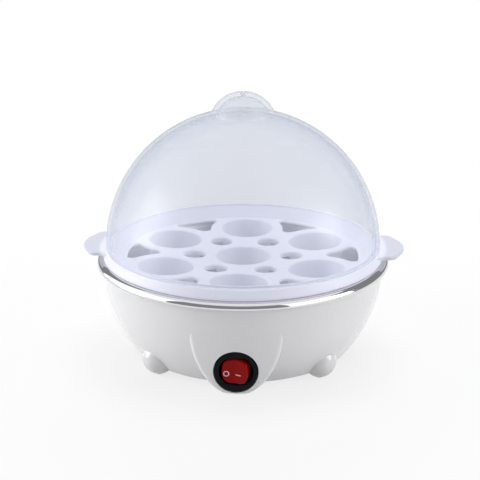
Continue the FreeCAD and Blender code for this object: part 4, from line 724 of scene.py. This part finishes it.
def switchGrid(centre, depth):
    # rings from the back over the barrel and bezel, then in steps from its round edge to the window's outline
    shape = switchShape
    angle = np.linspace(0, 2 * math.pi, shape["around"] + 1)
    window = windowOutline(shape["window"], shape["windowHalf"], angle)
    face = -shape["bezelDepth"]
    outer = lineOf([(0, depth), (shape["barrel"], depth), (shape["barrel"], 0), (shape["bezel"], 0),
                    (shape["bezel"], face + shape["bezelRound"]),
                    (shape["bezel"] - shape["bezelRound"], face, -shape["bezelRound"])],
                   shape["spacing"])
    rings = [(out + 0 * angle, along) for out, along in outer]
    edge = shape["bezel"] - shape["bezelRound"]
    lip = shape["lip"]
    for share in np.linspace(shape["faceStartShare"], 1, shape["faceRings"]):
        rings.append((edge + (window + lip - edge) * share, face))
    for turn in np.radians(shape["lipTurns"]):
        rings.append((window + lip * (1 - math.sin(turn)), face + lip * (1 - math.cos(turn))))
    well = np.linspace(face + lip * shape["wellStartShare"], depth - shape["floor"], shape["wellRings"])
    rings += [(window, along) for along in well]
    rings.append((0 * angle, depth - shape["floor"]))
    return ringsOf(rings, centre)


low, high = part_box("switch_housing")
switchCentre = (0, switchShape["seat"], (low.z + high.z) / 2)
switchPiece = makePiece("switchShell", [switchGrid(switchCentre, high.y - switchShape["seat"])],
                        finishes["black_plastic"], "base", 35)
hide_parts("switch_housing")


# Rocker: a pad with two faces that meet in a soft valley, inside the window's outline; it is turned to off
rockerShape = {"pivotDepth": 0.0004, "ball": 0.00845, "half": 0.00705, "end": 0.0075, "endRise": 0.0038,
               "valleyRise": 0.0022, "valleyEase": 0.0005, "edgeRound": 0.0009, "skirt": 0.0030,
               "turn": -12.0, "pin": 0.0010, "pinReach": 0.0011, "guide": 0.0023, "guideBore": 0.00145,
               "guideLength": 0.0076, "pinSpacing": 0.004, "pinAround": 24, "guideSpacing": 0.002,
               "guideAround": 48, "faceRings": 24, "edgeTurns": (15, 30, 45, 60, 75, 90),
               "skirtStartShare": 0.15, "skirtRings": 6}


def faceRise(across):
    # how far the face stands out of the pivot: two straight slopes, eased where they meet
    shape = rockerShape
    slope = (shape["endRise"] - shape["valleyRise"]) / shape["end"]
    ease = shape["valleyEase"]
    return shape["valleyRise"] + slope * (np.sqrt(across * across + ease * ease) - ease)


def rockerOutline(angle):
    # the ball's section at the face's height, flattened above, below and at both ends
    shape = rockerShape
    rise = faceRise(shape["end"] * np.cos(angle))
    power = switchShape["corner"] * 2
    section = np.sqrt(shape["ball"] ** 2 - rise * rise)
    return (section ** -power + (np.abs(np.sin(angle)) / shape["half"]) ** power
            + (np.abs(np.cos(angle)) / shape["end"]) ** power) ** (-1 / power)


def rockerGrids(centre):
    # rings in equal shares of the outline over the face, a quarter round at its edge, a skirt and a flat back
    shape = rockerShape
    angle = np.linspace(0, 2 * math.pi, switchShape["around"] + 1)
    outline = rockerOutline(angle)
    ease = shape["edgeRound"]
    rings = []
    for share in np.linspace(0, 1, shape["faceRings"]):
        out = (outline - ease) * share
        rings.append((out, -faceRise(out * np.cos(angle))))
    brink = -faceRise((outline - ease) * np.cos(angle))
    for turn in np.radians(shape["edgeTurns"]):
        rings.append((outline - ease + ease * math.sin(turn), brink + ease * (1 - math.cos(turn))))
    for share in np.linspace(shape["skirtStartShare"], 1, shape["skirtRings"]):
        rings.append((outline, brink + ease + (shape["skirt"] - brink - ease) * share))
    rings.append((0 * angle, shape["skirt"] + 0 * angle))
    pad = ringsOf(rings, centre)
    tall = shape["half"] + shape["pinReach"]
    thick = shape["pin"]
    pinLine = lineOf([(0, -tall), (thick, -tall), (thick, tall), (0, tall)], shape["pinSpacing"])
    pin = turnedGrid(pinLine, shape["pinAround"])
    bore, wide, near, far = shape["guideBore"], shape["guide"], shape["skirt"] / 2, shape["guideLength"]
    guideLine = lineOf([(bore, near), (wide, near), (wide, far), (bore, far), (bore, near)],
                       shape["guideSpacing"])
    guide = turnedGrid(guideLine, shape["guideAround"])
    return [swung(grid, centre, shape["turn"]) for grid in (pad, pin + np.array(centre),
                                                            layForward(guide, centre))]


pivot = (0, switchCentre[1] + rockerShape["pivotDepth"], switchCentre[2])
rockerPiece = makePiece("rockerPad", rockerGrids(pivot), finishes["red_plastic"], "rocker", 35)
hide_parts("switch_rocker")


# Printed marks on the rocker: a ring on the off side and a dash on the on side, one coat of ink thick
markShape = {"ringPlace": (-0.0044, -0.0014), "ringRadius": 0.00132, "ink": 0.00045, "thick": 0.00006,
             "dashFrom": (0.0004, -0.0016), "dashLength": 0.0030, "lean": -2.0, "ringSteps": 64,
             "dashSteps": 32}


def inkedGrid(across, up):
    # lays a strip on the rocker's face: of its closed section, two corners stand above the face and two below
    shape = markShape
    turn = math.radians(shape["lean"])
    x = across * math.cos(turn) - up * math.sin(turn)
    z = across * math.sin(turn) + up * math.cos(turn)
    lift = np.array([shape["thick"], shape["thick"], -shape["thick"], -shape["thick"], shape["thick"]])
    grid = np.stack((x, -faceRise(x) - lift, z), axis=-1) + np.array(pivot)
    return swung(grid, pivot, rockerShape["turn"])


def markGrids():
    # both marks are strips with the ink's width, carried round a circle and along a straight line
    shape = markShape
    half = shape["ink"] / 2
    sides = np.array([-half, half, half, -half, -half])
    angle = np.linspace(0, 2 * math.pi, shape["ringSteps"] + 1)[:, None]
    out = shape["ringRadius"] + sides
    ring = inkedGrid(shape["ringPlace"][0] + out * np.cos(angle), shape["ringPlace"][1] + out * np.sin(angle))
    # the dash has round ends: its half width follows a circle over the last half width of its length
    along = np.linspace(0, 1, shape["dashSteps"] + 1)[:, None] * shape["dashLength"]
    short = np.minimum(along, shape["dashLength"] - along)
    width = np.sqrt(np.clip(1 - ((half - np.minimum(short, half)) / half) ** 2, 0, 1))
    dash = inkedGrid(shape["dashFrom"][0] + along + 0 * sides, shape["dashFrom"][1] + sides * width)
    return [ring, dash]


markInk = tinted("markInk", (0.86, 0.66, 0.68), 0.4, 0.04, 900)
markPiece = makePiece("switchMarks", markGrids(), markInk, "rocker", 60)
print("switch made")


# Stage: pale floor that keeps the shadow, white surround, and cards
stage = {"floorHalf": 4.0, "floorColour": (0.74, 0.74, 0.75), "fadeStart": 0.10, "fadeEnd": 0.50,
         "shadowShare": 0.22, "ambient": 0.39, "cardFar": 1.5, "cardHeight": 1.7, "cards": 20,
         "darkCard": 0.28, "paleCard": 1.5, "paleSides": ((-125, -62), (30, 97)), "glossCard": 6.5}


def flatSheet(name, corners, material):
    # a single face between four corners, for the stage only
    mesh = bpy.data.meshes.new(name)
    mesh.from_pydata(corners, [], [(0, 1, 2, 3)])
    mesh.materials.append(material)
    made = bpy.data.objects.new(name, mesh)
    bpy.context.scene.collection.objects.link(made)
    return made


floorFinish = Finish("studioFloor", Base_Color=stage["floorColour"], Roughness=0.9, Specular_IOR_Level=0.0)
glow = floorFinish.node("Emission", {}, {"Color": (1, 1, 1), "Strength": 1.0})
fade = floorFinish.step(floorFinish.reach(), stage["fadeStart"], stage["fadeEnd"])
share = 1 - (1 - fade) * stage["shadowShare"]
plain = Wire(floorFinish, floorFinish.shader.outputs[0])
floorFinish.surface(floorFinish.node("MixShader", {}, {0: share * floorFinish.rays(), 1: plain, 2: glow}))
half = stage["floorHalf"]
flatSheet("floor", [(-half, -half, 0), (half, -half, 0), (half, half, 0), (-half, half, 0)],
          floorFinish.material)


# Cards all round, seen only in gloss: dark ones, so that steel shows its edges, and pale ones at the sides
def glossCard(name, corners, level):
    # an even white glow at this level, which only gloss shows
    finish = Finish(name)
    finish.surface(finish.node("Emission", {}, {"Color": (1, 1, 1), "Strength": level}))
    card = flatSheet(name, corners, finish.material)
    card.visible_camera = card.visible_diffuse = card.visible_shadow = card.visible_transmission = False


span = 360 / stage["cards"]
for number in range(stage["cards"]):
    middle = -180 + span * (number + 0.5)
    pale = any(first < middle < last for first, last in stage["paleSides"])
    ends = [math.radians(middle + side) for side in (-span / 2, span / 2)]
    far = stage["cardFar"]
    foot, head = [[(far * math.sin(end), -far * math.cos(end), tall) for end in ends]
                  for tall in (0, stage["cardHeight"])]
    glossCard(f"surroundCard_{number}", [foot[0], foot[1], head[1], head[0]],
              stage["paleCard" if pale else "darkCard"])

world = bpy.data.worlds.new("studio")
bpy.context.scene.world = world
world.use_nodes = True
surround = Nodes(world.node_tree, "World")
seen = surround.node("Background", {}, {"Color": (1, 1, 1), "Strength": 1.0})
lit = surround.node("Background", {}, {"Color": (1, 1, 1), "Strength": stage["ambient"]})
surround.surface(surround.node("MixShader", {}, {0: surround.rays(), 1: lit, 2: seen}))


# Camera at the photograph's angle
camera = {"azimuth": 2.8, "elevation": 18.4, "distance": 0.627, "height": 0.0607, "lens": 82.5,
          "sensor": 36, "shiftPixels": (-3, 3.9), "pixels": 480, "nearest": 0.01}
around = math.radians(camera["azimuth"])
above = math.radians(camera["elevation"])
target = Vector((0, 0, camera["height"]))
back = Vector((math.sin(around) * math.cos(above), -math.cos(around) * math.cos(above), math.sin(above)))
lensData = bpy.data.cameras.new("camera")
lensData.lens = camera["lens"]
lensData.sensor_width = camera["sensor"]
lensData.shift_x, lensData.shift_y = [shift / camera["pixels"] for shift in camera["shiftPixels"]]
lensData.clip_start = camera["nearest"]
viewer = bpy.data.objects.new("camera", lensData)
bpy.context.scene.collection.objects.link(viewer)
viewer.location = target + back * camera["distance"]
viewer.rotation_euler = (-back).to_track_quat("-Z", "Y").to_euler()
bpy.context.scene.camera = viewer

# Softboxes: way from the object in the camera's right, up and toward axes, distance, width, height and power.
# Lamps give no gloss themselves: where gloss is wanted, a card of the same size stands behind the lamp.
right = Vector((math.cos(around), math.sin(around), 0))
up = back.cross(right)
cardBehind = 0.05
softboxes = {
    "leftBox": {"way": (-0.976, 0.12, 0.08), "far": 1.0, "wide": 0.50, "tall": 0.9, "power": 7.6},
    "rightBox": {"way": (0.932, 0.187, 0.306), "far": 1.0, "wide": 0.44, "tall": 0.36, "power": 3.2},
    "backBox": {"way": (0, 0.76, -0.65), "far": 1.1, "wide": 0.8, "tall": 0.2, "power": 5.0},
    "topBox": {"way": (0.1, 1.0, 0.15), "far": 1.1, "wide": 0.7, "tall": 0.7, "power": 6.5},
}
for name, box in softboxes.items():
    lamp = bpy.data.lights.new(name, "AREA")
    lamp.shape = "RECTANGLE"
    lamp.size = box["wide"]
    lamp.size_y = box["tall"]
    lamp.energy = box["power"]
    held = bpy.data.objects.new(name, lamp)
    bpy.context.scene.collection.objects.link(held)
    way = (right * box["way"][0] + up * box["way"][1] + back * box["way"][2]).normalized()
    held.location = target + way * box["far"]
    held.rotation_euler = (-way).to_track_quat("-Z", "Y").to_euler()
    held.visible_glossy = False
    if name in ("leftBox", "rightBox"):
        sideways = way.cross(Vector((0, 0, 1))).normalized() * box["wide"] / 2
        upright = sideways.cross(way).normalized() * box["tall"] / 2
        centre = target + way * (box["far"] + cardBehind)
        corners = [centre - sideways - upright, centre + sideways - upright, centre + sideways + upright,
                   centre - sideways + upright]
        glossCard(f"{name}Card", corners, stage["glossCard"])
print("stage ready")


bpy.context.scene.view_settings.view_transform = "Standard"
